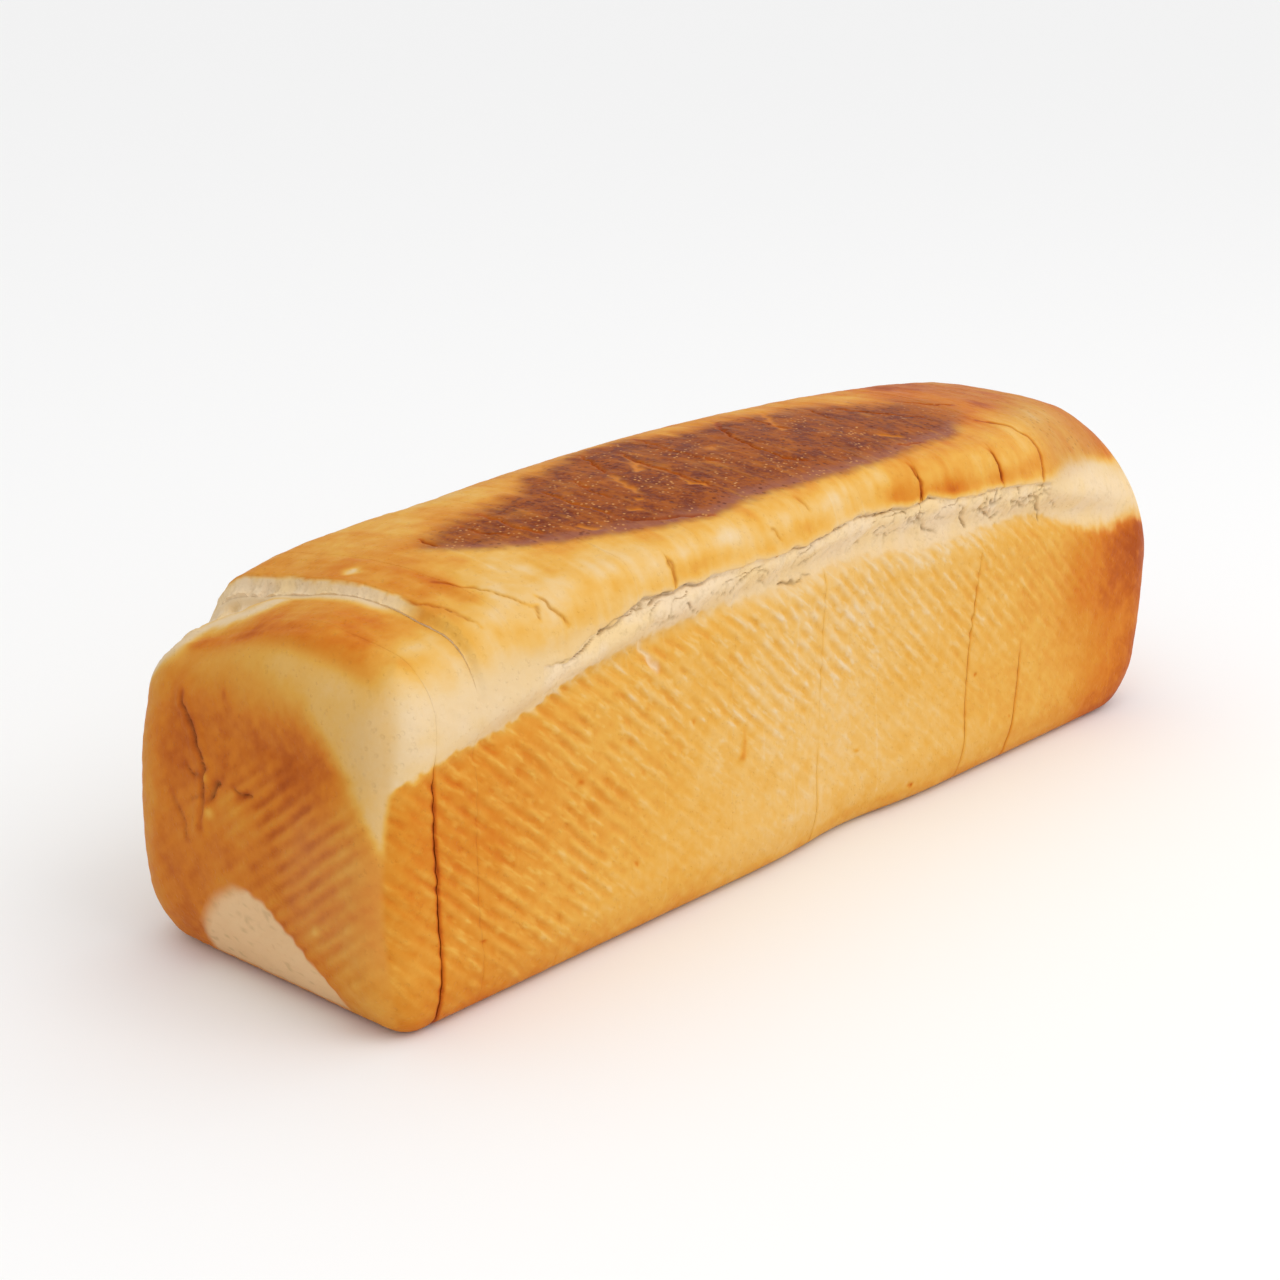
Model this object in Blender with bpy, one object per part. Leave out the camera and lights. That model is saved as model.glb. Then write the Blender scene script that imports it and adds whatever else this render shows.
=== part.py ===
"""A sliced tin loaf: two crust ends and twenty-three slices that stand together as the whole loaf.

The whole loaf is one form: walls that bulge or are drawn in, a rounded base edge, a domed top
with rounded shoulders, and the crease where the dome has risen over each long wall. Every piece is the
part of that form between two upright cuts. Metres, +Z up: the row runs along X and stands on
the plane z = 0. The near end is at -X, and the front wall faces -Y.
"""
import bpy
import numpy as np

# The loaf at its base, and its crown
BASE_LENGTH = 0.3172
BASE_WIDTH = 0.0982
CROWN_HEIGHT = 0.1107      # along the middle line, before it rolls down towards the ends
CROWN_RISE = 0.0103        # how much the crown climbs from the middle towards +X
CROWN_ROUND = 0.0061       # how far it falls from the middle line to a long wall

# Walls: how far each stands out at the height of its belly, measured from the base
NEAR_BELLY = 0.0037
NEAR_BELLY_HEIGHT = 0.031
FAR_BELLY = 0.0112
FAR_BELLY_HEIGHT = 0.045
BACK_BELLY = 0.0009
FRONT_BELLY = -0.0024      # the front wall is drawn in instead
SIDE_BELLY_HEIGHT = 0.043
WAIST = 0.0026             # the shallow dip along the middle of the front wall
WAIST_PLACE = 0.0106
WAIST_REACH = 0.0210

# Rounding
BASE_EDGE = 0.0038
FOOT_DRAFT = 0.0052        # how far the walls draw in at the base, over FOOT_HEIGHT
FOOT_HEIGHT = 0.016
NEAR_CORNER = 0.0178
NEAR_FRONT_CORNER = 0.0100
FAR_CORNER = 0.0240
FRONT_SHOULDER = 0.0065
BACK_SHOULDER = 0.0365
SHOULDER_BLEND = 0.040     # width of the strip where one shoulder's radius turns into the other's
NEAR_FRONT_SHOULDER = 0.0135
NEAR_BACK_SHOULDER = 0.0120
SHOULDER_START = 0.010     # how far from the near end the shoulders begin to change
SHOULDER_REACH = 0.075
FAR_FRONT_SHOULDER = 0.036
FAR_SHOULDER_REACH = 0.102

# How the crown rolls down towards each end
NEAR_ROLL = 0.0097
NEAR_ROLL_REACH = 0.174
NEAR_ROLL_POWER = 1.5
FAR_ROLL = 0.0364
FAR_ROLL_REACH = 0.281
FAR_ROLL_POWER = 1.54

# The near end's top, which has sagged, most of all towards the back wall
SAG = 0.0015               # at SAG_PLACE from the near end
SAG_PLACE = 0.024
SAG_REACH = 0.0127
BACK_SAG = 0.0104          # at BACK_SAG_PLACE from the near end
BACK_SAG_PLACE = 0.011
BACK_SAG_REACH = 0.0225
BACK_SAG_START = -0.018
BACK_SAG_WIDTH = 0.050

# The crease under the dome, on both long walls
CREASE_HEIGHT = 0.0805
CREASE_FALL = 0.021        # how far the crease drops from the middle to CREASE_SPAN
CREASE_SPAN = 0.150
CREASE_DEPTH = 0.0022
CREASE_WIDTH = 0.0042
CREASE_FADE = 0.040        # the crease fades out over this length towards each end
LIP = 0.0014               # the dome's edge over the crease
LIP_RISE = 0.0080

# Cuts
SLICES = 23
SLICE_PITCH = 0.0127
NEAR_HEEL = 0.0131
SAW_GAP = 0.0003
OPEN_CUTS = {0: 0.0010, 11: 0.0005, 16: 0.0006, 18: 0.0006}

# Pieces that have settled on their own
SUNK_PIECES = 2            # the near heel and the first slice have level tops, a little lower
SINK = 0.0020
BACK_SINK = 0.0010         # more of it towards the back wall
BACK_SINK_START = 0.015
BACK_SINK_WIDTH = 0.030
SETTLE = 0.0004            # most that a piece's top stands higher or lower than the form
SETTLE_TURN = 2.4          # radians of a sine wave from one piece to the next
SHIFT = 0.0003             # most that a piece stands off the row's middle line
SHIFT_TURN = 1.7
SHIFT_START = 1.0

# Faceting
CENTRE_HEIGHT = 0.045
OUTLINE_POINTS = 56
FINE_RAYS = 720
CORNER_WEIGHT = 0.012      # metres of outline that one radian of turning counts for
HEEL_RINGS = 9
LONGEST_RAY = 0.140
HALVINGS = 24
ON_BASE = 1e-5             # a point this near to the base plane lies on it
SHARP_EDGE = 40.0          # degrees; a steeper edge is shaded sharp

CRUST_LOOKS = {
    "end_crust": ((0.47, 0.17, 0.05, 1.0), 0.55),
    "slice_crust": ((0.60, 0.30, 0.09, 1.0), 0.50),
}


def clear_scene():
    for thing in list(bpy.data.objects):
        bpy.data.objects.remove(thing, do_unlink=True)


def rounded_meet(a, b, radius):
    """The larger of two signed distances, with the edge where they meet rounded to radius."""
    round_off = np.hypot(a + radius, b + radius) - radius
    near_edge = (a > -radius) & (b > -radius)
    return np.where(near_edge, round_off, np.maximum(a, b))


def smooth_step(t):
    t = np.clip(t, 0.0, 1.0)
    return t * t * (3.0 - 2.0 * t)


def belly(z, height):
    """0 at the base, 1 at the given height, and back to 0 at twice that height."""
    t = np.clip(z / height, 0.0, 2.0)
    return 1.0 - (1.0 - t) ** 2


def roll(distance, reach, power):
    """1 at an end of the loaf, falling to 0 at reach from it, like a quarter of an ellipse."""
    t = 1.0 - np.clip(distance / reach, 0.0, 1.0)
    return 1.0 - np.sqrt(np.maximum(1.0 - t ** power, 0.0))


def crease(x, z):
    """Bread gained over a flat wall: negative in the crease and positive at the lip above it."""
    height = CREASE_HEIGHT - CREASE_FALL * (x / CREASE_SPAN) ** 2
    hollow = np.exp(-((z - height) / CREASE_WIDTH) ** 2)
    lip = np.exp(-((z - height - LIP_RISE) / CREASE_WIDTH) ** 2)
    fade = smooth_step((BASE_LENGTH / 2 - np.abs(x)) / CREASE_FADE)
    return fade * (LIP * lip - CREASE_DEPTH * hollow)


def front_wall(x, z):
    """Distance of the front wall from the middle plane y = 0."""
    waist = WAIST * np.exp(-((x - WAIST_PLACE) / WAIST_REACH) ** 2)
    drawn_in = FRONT_BELLY * belly(z, SIDE_BELLY_HEIGHT)
    return BASE_WIDTH / 2 + drawn_in - waist + crease(x, z)


def back_wall(x, z):
    """Distance of the back wall from the middle plane y = 0."""
    return BASE_WIDTH / 2 + BACK_BELLY * belly(z, SIDE_BELLY_HEIGHT) + crease(x, z)


def sag(from_near, y, sunk):
    """How far the near end's top has dropped. A sunk piece has the same drop all along."""
    inside = np.maximum(from_near, BACK_SAG_PLACE)
    fading = np.exp((SAG_PLACE - inside) / SAG_REACH)
    even = SAG * (fading * (1.0 - sunk) + sunk)
    towards_back = smooth_step((y - BACK_SAG_START) / BACK_SAG_WIDTH)
    back = BACK_SAG * np.exp((BACK_SAG_PLACE - inside) / BACK_SAG_REACH) * towards_back
    return even + back


def crown(x, y, sunk):
    """Height of the top, before its shoulders are rounded."""
    across = y / (BASE_WIDTH / 2)
    from_near = x + BASE_LENGTH / 2
    from_far = BASE_LENGTH / 2 - x
    height = CROWN_HEIGHT + CROWN_RISE * x / (BASE_LENGTH / 2)
    height = height - CROWN_ROUND * across ** 2
    height = height - NEAR_ROLL * roll(from_near, NEAR_ROLL_REACH, NEAR_ROLL_POWER)
    height = height - FAR_ROLL * roll(from_far, FAR_ROLL_REACH, FAR_ROLL_POWER)
    towards_back = smooth_step((y - BACK_SINK_START) / BACK_SINK_WIDTH)
    return height - sag(from_near, y, sunk) - sunk * (SINK + BACK_SINK * towards_back)


def shoulder_radius(x, y):
    """Radius between a long wall and the top, which is tightest along the front."""
    away = smooth_step((x + BASE_LENGTH / 2 - SHOULDER_START) / SHOULDER_REACH)
    far = smooth_step((x - BASE_LENGTH / 2 + FAR_SHOULDER_REACH) / FAR_SHOULDER_REACH)
    front = NEAR_FRONT_SHOULDER + (FRONT_SHOULDER - NEAR_FRONT_SHOULDER) * away
    front = front + (FAR_FRONT_SHOULDER - FRONT_SHOULDER) * far
    back = NEAR_BACK_SHOULDER + (BACK_SHOULDER - NEAR_BACK_SHOULDER) * away
    return front + (back - front) * smooth_step(0.5 + y / SHOULDER_BLEND)


def loaf_distance(points, sunk):
    """Signed distance to the loaf's surface, below 0 inside. sunk is 1 for a piece stood lower."""
    x, y, z = points[..., 0], points[..., 1], points[..., 2]
    sides = np.maximum(-y - front_wall(x, z), y - back_wall(x, z))
    near_end = -x - BASE_LENGTH / 2 - NEAR_BELLY * belly(z, NEAR_BELLY_HEIGHT)
    far_end = x - BASE_LENGTH / 2 - FAR_BELLY * belly(z, FAR_BELLY_HEIGHT)
    near_corner = np.where(y < 0.0, NEAR_FRONT_CORNER, NEAR_CORNER)
    corner = np.where(x < 0.0, near_corner, FAR_CORNER)
    walls = rounded_meet(sides, np.maximum(near_end, far_end), corner)
    walls = walls + FOOT_DRAFT * (1.0 - np.clip(z / FOOT_HEIGHT, 0.0, 1.0)) ** 2
    walls = rounded_meet(walls, -z, BASE_EDGE)
    return rounded_meet(walls, z - crown(x, y, sunk), shoulder_radius(x, y))


def reach_surface(origin, directions, sunk):
    """Follows each direction from origin out to the loaf's surface, by halving."""
    unit = directions / np.linalg.norm(directions, axis=-1, keepdims=True)
    inner = np.zeros(unit.shape[:-1])
    outer = np.full(unit.shape[:-1], LONGEST_RAY)
    for _ in range(HALVINGS):
        middle = (inner + outer) / 2
        inside = loaf_distance(origin + unit * middle[..., None], sunk) < 0.0
        inner = np.where(inside, middle, inner)
        outer = np.where(inside, outer, middle)
    points = origin + unit * inner[..., None]
    points[..., 2] = np.where(points[..., 2] < ON_BASE, 0.0, points[..., 2])
    return points


def cut_centre(x):
    return np.array([x, 0.0, CENTRE_HEIGHT])


def cut_outline(x, sunk):
    """Outline of the loaf in the cut at x, as OUTLINE_POINTS points.

    Rays fan out in the plane of the cut. The points then lie evenly along the outline's length
    plus its turning, so that corners get more of them.
    """
    angle = np.linspace(0.0, 2.0 * np.pi, FINE_RAYS, endpoint=False)
    rays = np.stack([np.zeros(FINE_RAYS), np.sin(angle), -np.cos(angle)], axis=-1)
    fine = reach_surface(cut_centre(x), rays, sunk)
    edges = np.roll(fine, -1, axis=0) - fine
    length = np.linalg.norm(edges, axis=-1)
    heading = np.arctan2(edges[:, 2], edges[:, 1])
    turn = np.abs(np.angle(np.exp(1j * (np.roll(heading, -1) - heading))))
    walked = np.concatenate([[0.0], np.cumsum(length + CORNER_WEIGHT * turn)])
    closed = np.vstack([fine, fine[:1]])
    stops = np.linspace(0.0, walked[-1], OUTLINE_POINTS, endpoint=False)
    return np.stack([np.interp(stops, walked, closed[:, axis]) for axis in range(3)], axis=-1)


def loft(rings, start, finish):
    """Closed mesh data through equal rings, shut by a fan of triangles to a point at each end."""
    count = len(rings[0])
    vertices = np.vstack(rings + [start, finish])
    faces = []
    for row in range(len(rings) - 1):
        for i in range(count):
            j = (i + 1) % count
            low, high = row * count, (row + 1) * count
            faces.append((low + i, low + j, high + j, high + i))
    first, last = len(rings) * count, len(rings) * count + 1
    top = (len(rings) - 1) * count
    for i in range(count):
        j = (i + 1) % count
        faces.append((first, j, i))
        faces.append((last, top + i, top + j))
    return vertices, faces


def slice_form(near_cut, far_cut, sunk):
    """A slice: its two cut faces with one more outline half-way between them."""
    stations = (near_cut, (near_cut + far_cut) / 2, far_cut)
    rings = [cut_outline(x, sunk) for x in stations]
    return loft(rings, cut_centre(near_cut), cut_centre(far_cut))


def heel_form(cut, side, sunk):
    """A crust end: its cut face, then rings that turn from across the loaf to along it.

    side is -1 for the near end and +1 for the far end.
    """
    centre = cut_centre(cut)
    outline = cut_outline(cut, sunk)
    pole = reach_surface(centre, np.array([[side, 0.0, 0.0]]), sunk)[0]
    rings = [outline]
    for step in range(1, HEEL_RINGS):
        turn = 0.5 * np.pi * step / HEEL_RINGS
        rays = (outline - centre) * np.cos(turn) + (pole - centre) * np.sin(turn)
        rings.append(reach_surface(centre, rays, sunk))
    if side > 0:
        return loft(rings, centre, pole)
    return loft(rings[::-1], pole, centre)


def crust_material(name):
    colour, roughness = CRUST_LOOKS[name]
    material = bpy.data.materials.new(name)
    material.use_nodes = True
    shader = material.node_tree.nodes["Principled BSDF"]
    shader.inputs["Base Color"].default_value = colour
    shader.inputs["Roughness"].default_value = roughness
    shader.inputs["Metallic"].default_value = 0.0
    material.diffuse_color = colour
    return material


def add_piece(name, vertices, faces, material, collection):
    mesh = bpy.data.meshes.new(name)
    mesh.from_pydata(vertices.tolist(), [], faces)
    mesh.materials.append(material)
    mesh.shade_smooth()
    mesh.set_sharp_from_angle(angle=np.radians(SHARP_EDGE))
    piece = bpy.data.objects.new(name, mesh)
    collection.objects.link(piece)
    return piece


def moved(form, index):
    """The piece's own small shift across the row, and how far its upper half has settled."""
    vertices, faces = form
    vertices = vertices.copy()
    height_share = vertices[:, 2] / CROWN_HEIGHT
    vertices[:, 1] += SHIFT * np.sin(SHIFT_TURN * index + SHIFT_START)
    vertices[:, 2] += SETTLE * np.sin(SETTLE_TURN * index) * height_share
    return vertices, faces


def loaf_forms():
    """Name, mesh data and material of every piece, from the near end to the far end."""
    cuts = [NEAR_HEEL - BASE_LENGTH / 2 + SLICE_PITCH * k for k in range(SLICES + 1)]
    half_gap = [OPEN_CUTS.get(k, SAW_GAP) / 2 for k in range(SLICES + 1)]
    near = heel_form(cuts[0] - half_gap[0], -1, 1.0)
    forms = [("near_heel", near, "end_crust")]
    for k in range(SLICES):
        sunk = 1.0 if k + 1 < SUNK_PIECES else 0.0
        form = slice_form(cuts[k] + half_gap[k], cuts[k + 1] - half_gap[k + 1], sunk)
        forms.append((f"slice_{k + 1:02d}", form, "slice_crust"))
    far = heel_form(cuts[-1] + half_gap[-1], 1, 0.0)
    forms.append(("far_heel", far, "end_crust"))
    return [(name, moved(form, index), look) for index, (name, form, look) in enumerate(forms)]


def middle_of_base(forms):
    """The point on z = 0 under the middle of the box around all the pieces."""
    vertices = np.vstack([form[0] for _, form, _ in forms])
    middle = (vertices.min(axis=0) + vertices.max(axis=0)) / 2
    return np.array([middle[0], middle[1], 0.0])


def build_loaf():
    collection = bpy.data.collections.new("tin_loaf")
    bpy.context.scene.collection.children.link(collection)
    materials = {name: crust_material(name) for name in CRUST_LOOKS}
    forms = loaf_forms()
    origin = middle_of_base(forms)
    for name, (vertices, faces), look in forms:
        add_piece(name, vertices - origin, faces, materials[look], collection)


if __name__ == "__main__":
    clear_scene()
    build_loaf()
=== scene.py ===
"""The sliced tin loaf, dressed: baked crust, a torn pale band, a dark top and real gaps between slices.

Every piece is one closed surface. Its crust is the loaf's form met by rays that fan out from the
line along the loaf's middle, pushed in and out by the ribs of the tin, by tears, cracks and
blisters. Masks kept on its points tell the crust material how far each spot is baked.
"""

import bpy
import numpy as np
from mathutils import Matrix, Vector


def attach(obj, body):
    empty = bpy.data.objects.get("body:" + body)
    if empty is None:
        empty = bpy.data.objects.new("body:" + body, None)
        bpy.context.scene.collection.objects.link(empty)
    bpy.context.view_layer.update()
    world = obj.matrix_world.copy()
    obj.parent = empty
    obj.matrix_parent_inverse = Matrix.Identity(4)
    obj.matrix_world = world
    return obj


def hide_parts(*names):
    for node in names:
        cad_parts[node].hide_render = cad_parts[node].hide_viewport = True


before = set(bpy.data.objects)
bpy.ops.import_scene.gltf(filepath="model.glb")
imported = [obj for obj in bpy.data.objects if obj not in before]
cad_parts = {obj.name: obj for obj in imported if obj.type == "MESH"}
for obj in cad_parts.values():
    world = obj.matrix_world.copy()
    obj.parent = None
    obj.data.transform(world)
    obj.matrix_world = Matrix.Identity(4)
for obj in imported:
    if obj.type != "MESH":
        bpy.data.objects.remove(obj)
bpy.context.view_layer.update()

bl_info = {
    "name": "Sliced Tin Loaf",
    "version": (1, 0, 0),
    "blender": (4, 5, 0),
    "location": "3D View > Sidebar > Tin Loaf",
    "description": "Makes the crust ends and slices of a tin loaf, with the stage that they stand on",
    "category": "Add Mesh",
}

MM = 0.001

# The loaf at its base, and its crown, as in the solids
BASE_LENGTH = 0.3172
BASE_WIDTH = 0.0982
CROWN_HEIGHT = 0.1107
CROWN_RISE = 0.0103
CROWN_ROUND = 0.0061

# Walls
NEAR_BELLY = 0.0037
NEAR_BELLY_HEIGHT = 0.031
FAR_BELLY = 0.0112
FAR_BELLY_HEIGHT = 0.045
BACK_BELLY = 0.0009
FRONT_BELLY = -0.0024
SIDE_BELLY_HEIGHT = 0.043
WAIST = 0.0026
WAIST_PLACE = 0.0106
WAIST_REACH = 0.0210

# Rounding
BASE_EDGE = 0.0038
FOOT_DRAFT = 0.0052
FOOT_HEIGHT = 0.016
NEAR_CORNER = 0.0178
NEAR_FRONT_CORNER = 0.0100
FAR_CORNER = 0.0240
FRONT_SHOULDER = 0.0065
BACK_SHOULDER = 0.0365
SHOULDER_BLEND = 0.040
NEAR_FRONT_SHOULDER = 0.0135
NEAR_BACK_SHOULDER = 0.0120
SHOULDER_START = 0.010
SHOULDER_REACH = 0.075
FAR_FRONT_SHOULDER = 0.036
FAR_SHOULDER_REACH = 0.102

# How the crown rolls down, and how the near end has sagged
NEAR_ROLL = 0.0097
NEAR_ROLL_REACH = 0.174
NEAR_ROLL_POWER = 1.5
FAR_ROLL = 0.0364
FAR_ROLL_REACH = 0.281
FAR_ROLL_POWER = 1.54
SAG = 0.0015
SAG_PLACE = 0.024
SAG_REACH = 0.0127
BACK_SAG = 0.0104
BACK_SAG_PLACE = 0.011
BACK_SAG_REACH = 0.0225
BACK_SAG_START = -0.018
BACK_SAG_WIDTH = 0.050

# The crease under the dome
CREASE_HEIGHT = 0.0805
CREASE_FALL = 0.021
CREASE_SPAN = 0.150
CREASE_DEPTH = 0.0022
CREASE_WIDTH = 0.0042
CREASE_FADE = 0.040
LIP = 0.0014
LIP_RISE = 0.0080

# Cuts, and pieces that have settled on their own
SLICES = 23
SLICE_PITCH = 0.0127
NEAR_HEEL = 0.0131
SUNK_PIECES = 2
SINK = 0.0020
BACK_SINK = 0.0010
BACK_SINK_START = 0.015
BACK_SINK_WIDTH = 0.030
SETTLE = 0.00002
SETTLE_TURN = 2.4
SHIFT = 0.00001
SHIFT_TURN = 1.7
SHIFT_START = 1.0

# The form's own origin, seen from the middle of the box that the solids fill
LOAF_MIDDLE = np.array([0.00375, -0.0002, 0.0])
CENTRE_HEIGHT = 0.045
LONGEST_RAY = 0.140
HALVINGS = 22
ON_BASE = 1e-5

# How finely a piece is worked out
RAYS = 768
ROWS_AT_CUT = (0.0, 0.12, 0.30, 0.60, 1.00)    # mm from a cut
ROW_PITCH = 0.55                               # mm
FACE_PITCH = 0.62                              # mm between the rings on a heel's face
CLOSED_CUT = 0.004                             # mm between slices that touch


def smooth_step(t):
    """0 below t = 0, 1 above t = 1, and 3 t^2 - 2 t^3 between."""
    t = np.clip(t, 0.0, 1.0)
    return t * t * (3.0 - 2.0 * t)


def rounded_meet(a, b, radius):
    """The larger of two signed distances, with the edge where they meet rounded to radius."""
    round_off = np.hypot(a + radius, b + radius) - radius
    near_edge = (a > -radius) & (b > -radius)
    return np.where(near_edge, round_off, np.maximum(a, b))


def belly(z, height):
    """0 at the base, 1 at the given height, and back to 0 at twice that height."""
    t = np.clip(z / height, 0.0, 2.0)
    return 1.0 - (1.0 - t) ** 2


def roll(distance, reach, power):
    """1 at an end of the loaf, falling to 0 at reach from it, like a quarter of an ellipse."""
    t = 1.0 - np.clip(distance / reach, 0.0, 1.0)
    return 1.0 - np.sqrt(np.maximum(1.0 - t ** power, 0.0))


def crease(x, z):
    """Bread gained over a flat wall: negative in the crease and positive at the lip above it."""
    height = CREASE_HEIGHT - CREASE_FALL * (x / CREASE_SPAN) ** 2
    hollow = np.exp(-((z - height) / CREASE_WIDTH) ** 2)
    lip = np.exp(-((z - height - LIP_RISE) / CREASE_WIDTH) ** 2)
    fade = smooth_step((BASE_LENGTH / 2 - np.abs(x)) / CREASE_FADE)
    return fade * (LIP * lip - CREASE_DEPTH * hollow)


def front_wall(x, z):
    """Distance of the front wall from the middle plane y = 0."""
    waist = WAIST * np.exp(-((x - WAIST_PLACE) / WAIST_REACH) ** 2)
    drawn_in = FRONT_BELLY * belly(z, SIDE_BELLY_HEIGHT)
    return BASE_WIDTH / 2 + drawn_in - waist + crease(x, z)


def back_wall(x, z):
    """Distance of the back wall from the middle plane y = 0."""
    return BASE_WIDTH / 2 + BACK_BELLY * belly(z, SIDE_BELLY_HEIGHT) + crease(x, z)


def sag(from_near, y, sunk):
    """How far the near end's top has dropped. A sunk piece has the same drop all along."""
    inside = np.maximum(from_near, BACK_SAG_PLACE)
    fading = np.exp((SAG_PLACE - inside) / SAG_REACH)
    even = SAG * (fading * (1.0 - sunk) + sunk)
    towards_back = smooth_step((y - BACK_SAG_START) / BACK_SAG_WIDTH)
    back = BACK_SAG * np.exp((BACK_SAG_PLACE - inside) / BACK_SAG_REACH) * towards_back
    return even + back


def crown(x, y, sunk):
    """Height of the top, before its shoulders are rounded."""
    across = y / (BASE_WIDTH / 2)
    from_near = x + BASE_LENGTH / 2
    from_far = BASE_LENGTH / 2 - x
    height = CROWN_HEIGHT + CROWN_RISE * x / (BASE_LENGTH / 2)
    height = height - CROWN_ROUND * across ** 2
    height = height - NEAR_ROLL * roll(from_near, NEAR_ROLL_REACH, NEAR_ROLL_POWER)
    height = height - FAR_ROLL * roll(from_far, FAR_ROLL_REACH, FAR_ROLL_POWER)
    towards_back = smooth_step((y - BACK_SINK_START) / BACK_SINK_WIDTH)
    return height - sag(from_near, y, sunk) - sunk * (SINK + BACK_SINK * towards_back)


def shoulder_radius(x, y):
    """Radius between a long wall and the top, which is tightest along the front."""
    away = smooth_step((x + BASE_LENGTH / 2 - SHOULDER_START) / SHOULDER_REACH)
    far = smooth_step((x - BASE_LENGTH / 2 + FAR_SHOULDER_REACH) / FAR_SHOULDER_REACH)
    front = NEAR_FRONT_SHOULDER + (FRONT_SHOULDER - NEAR_FRONT_SHOULDER) * away
    front = front + (FAR_FRONT_SHOULDER - FRONT_SHOULDER) * far
    back = NEAR_BACK_SHOULDER + (BACK_SHOULDER - NEAR_BACK_SHOULDER) * away
    return front + (back - front) * smooth_step(0.5 + y / SHOULDER_BLEND)


def loaf_distance(points, sunk):
    """Signed distance to the loaf's surface, below 0 inside. sunk is 1 for a piece stood lower."""
    x, y, z = points[..., 0], points[..., 1], points[..., 2]
    sides = np.maximum(-y - front_wall(x, z), y - back_wall(x, z))
    near_end = -x - BASE_LENGTH / 2 - NEAR_BELLY * belly(z, NEAR_BELLY_HEIGHT)
    far_end = x - BASE_LENGTH / 2 - FAR_BELLY * belly(z, FAR_BELLY_HEIGHT)
    near_corner = np.where(y < 0.0, NEAR_FRONT_CORNER, NEAR_CORNER)
    corner = np.where(x < 0.0, near_corner, FAR_CORNER)
    walls = rounded_meet(sides, np.maximum(near_end, far_end), corner)
    walls = walls + FOOT_DRAFT * (1.0 - np.clip(z / FOOT_HEIGHT, 0.0, 1.0)) ** 2
    walls = rounded_meet(walls, -z, BASE_EDGE)
    return rounded_meet(walls, z - crown(x, y, sunk), shoulder_radius(x, y))


def reach_surface(origins, directions, sunk):
    """Follows each direction from its origin out to the loaf's surface, by halving."""
    unit = directions / np.linalg.norm(directions, axis=-1, keepdims=True)
    inner = np.zeros(unit.shape[:-1])
    outer = np.full(unit.shape[:-1], LONGEST_RAY)
    for _ in range(HALVINGS):
        middle = (inner + outer) / 2
        inside = loaf_distance(origins + unit * middle[..., None], sunk) < 0.0
        inner = np.where(inside, middle, inner)
        outer = np.where(inside, outer, middle)
    points = origins + unit * inner[..., None]
    points[..., 2] = np.where(points[..., 2] < ON_BASE, 0.0, points[..., 2])
    return points


def facing(points, sunk):
    """Unit outward direction: how the signed distance changes over 0.2 mm along each axis."""
    step = 0.1 * MM
    slopes = []
    for axis in range(3):
        away = np.zeros(3)
        away[axis] = step
        slopes.append(loaf_distance(points + away, sunk) - loaf_distance(points - away, sunk))
    normal = np.stack(slopes, axis=-1)
    return normal / np.maximum(np.linalg.norm(normal, axis=-1, keepdims=True), 1e-12)


def lattice_numbers(ix, iy, iz, seed):
    """A fixed number from -1 to 1 for each corner of a lattice, by mixing its three counts."""
    mixed = ix * np.uint32(73856093) ^ iy * np.uint32(19349663) ^ iz * np.uint32(83492791)
    mixed = mixed ^ np.uint32(seed * 2654435761 % 4294967296)
    mixed = (mixed ^ (mixed >> np.uint32(13))) * np.uint32(1540483477)
    mixed = (mixed ^ (mixed >> np.uint32(15))) * np.uint32(2246822519)
    mixed = mixed ^ (mixed >> np.uint32(13))
    return mixed.astype(np.float64) / 2147483647.5 - 1.0


def unevenness(points, size, seed):
    """Smooth noise from -1 to 1 with bumps of the given size: lattice numbers blended by smooth steps."""
    place = points / size + 4096.0
    cell = np.floor(place)
    weight = place - cell
    weight = weight * weight * (3.0 - 2.0 * weight)
    cell = cell.astype(np.uint32)
    total = np.zeros(points.shape[:-1])
    for corner in range(8):
        dx, dy, dz = corner & 1, (corner >> 1) & 1, corner >> 2
        number = lattice_numbers(cell[..., 0] + np.uint32(dx), cell[..., 1] + np.uint32(dy),
                                 cell[..., 2] + np.uint32(dz), seed)
        share = (weight[..., 0] if dx else 1.0 - weight[..., 0])
        share = share * (weight[..., 1] if dy else 1.0 - weight[..., 1])
        share = share * (weight[..., 2] if dz else 1.0 - weight[..., 2])
        total += share * number
    return total


def rough(points, size, seed, layers=3):
    """Unevenness in several layers, each half as large and 0.55 times as strong as the last."""
    total = np.zeros(points.shape[:-1])
    strength, sum_of = 1.0, 0.0
    for layer in range(layers):
        total += strength * unevenness(points, size / 2 ** layer, seed + 17 * layer)
        sum_of += strength
        strength *= 0.55
    return total / sum_of


def hump(t):
    """A bell: 1 at t = 0 and about a third at t = 1."""
    return np.exp(-t * t)


def path_distance(u, v, path):
    """Distance in mm from each (u, v) to a bent line, and how far along the line (0 to 1) it is met."""
    nearest = np.full(u.shape, 1e3)
    along = np.zeros(u.shape)
    legs = list(zip(path[:-1], path[1:]))
    for number, ((u0, v0), (u1, v1)) in enumerate(legs):
        du, dv = u1 - u0, v1 - v0
        t = np.clip(((u - u0) * du + (v - v0) * dv) / (du * du + dv * dv), 0.0, 1.0)
        distance = np.hypot(u - u0 - t * du, v - v0 - t * dv)
        closer = distance < nearest
        nearest = np.where(closer, distance, nearest)
        along = np.where(closer, (number + t) / len(legs), along)
    return nearest, along


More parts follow.
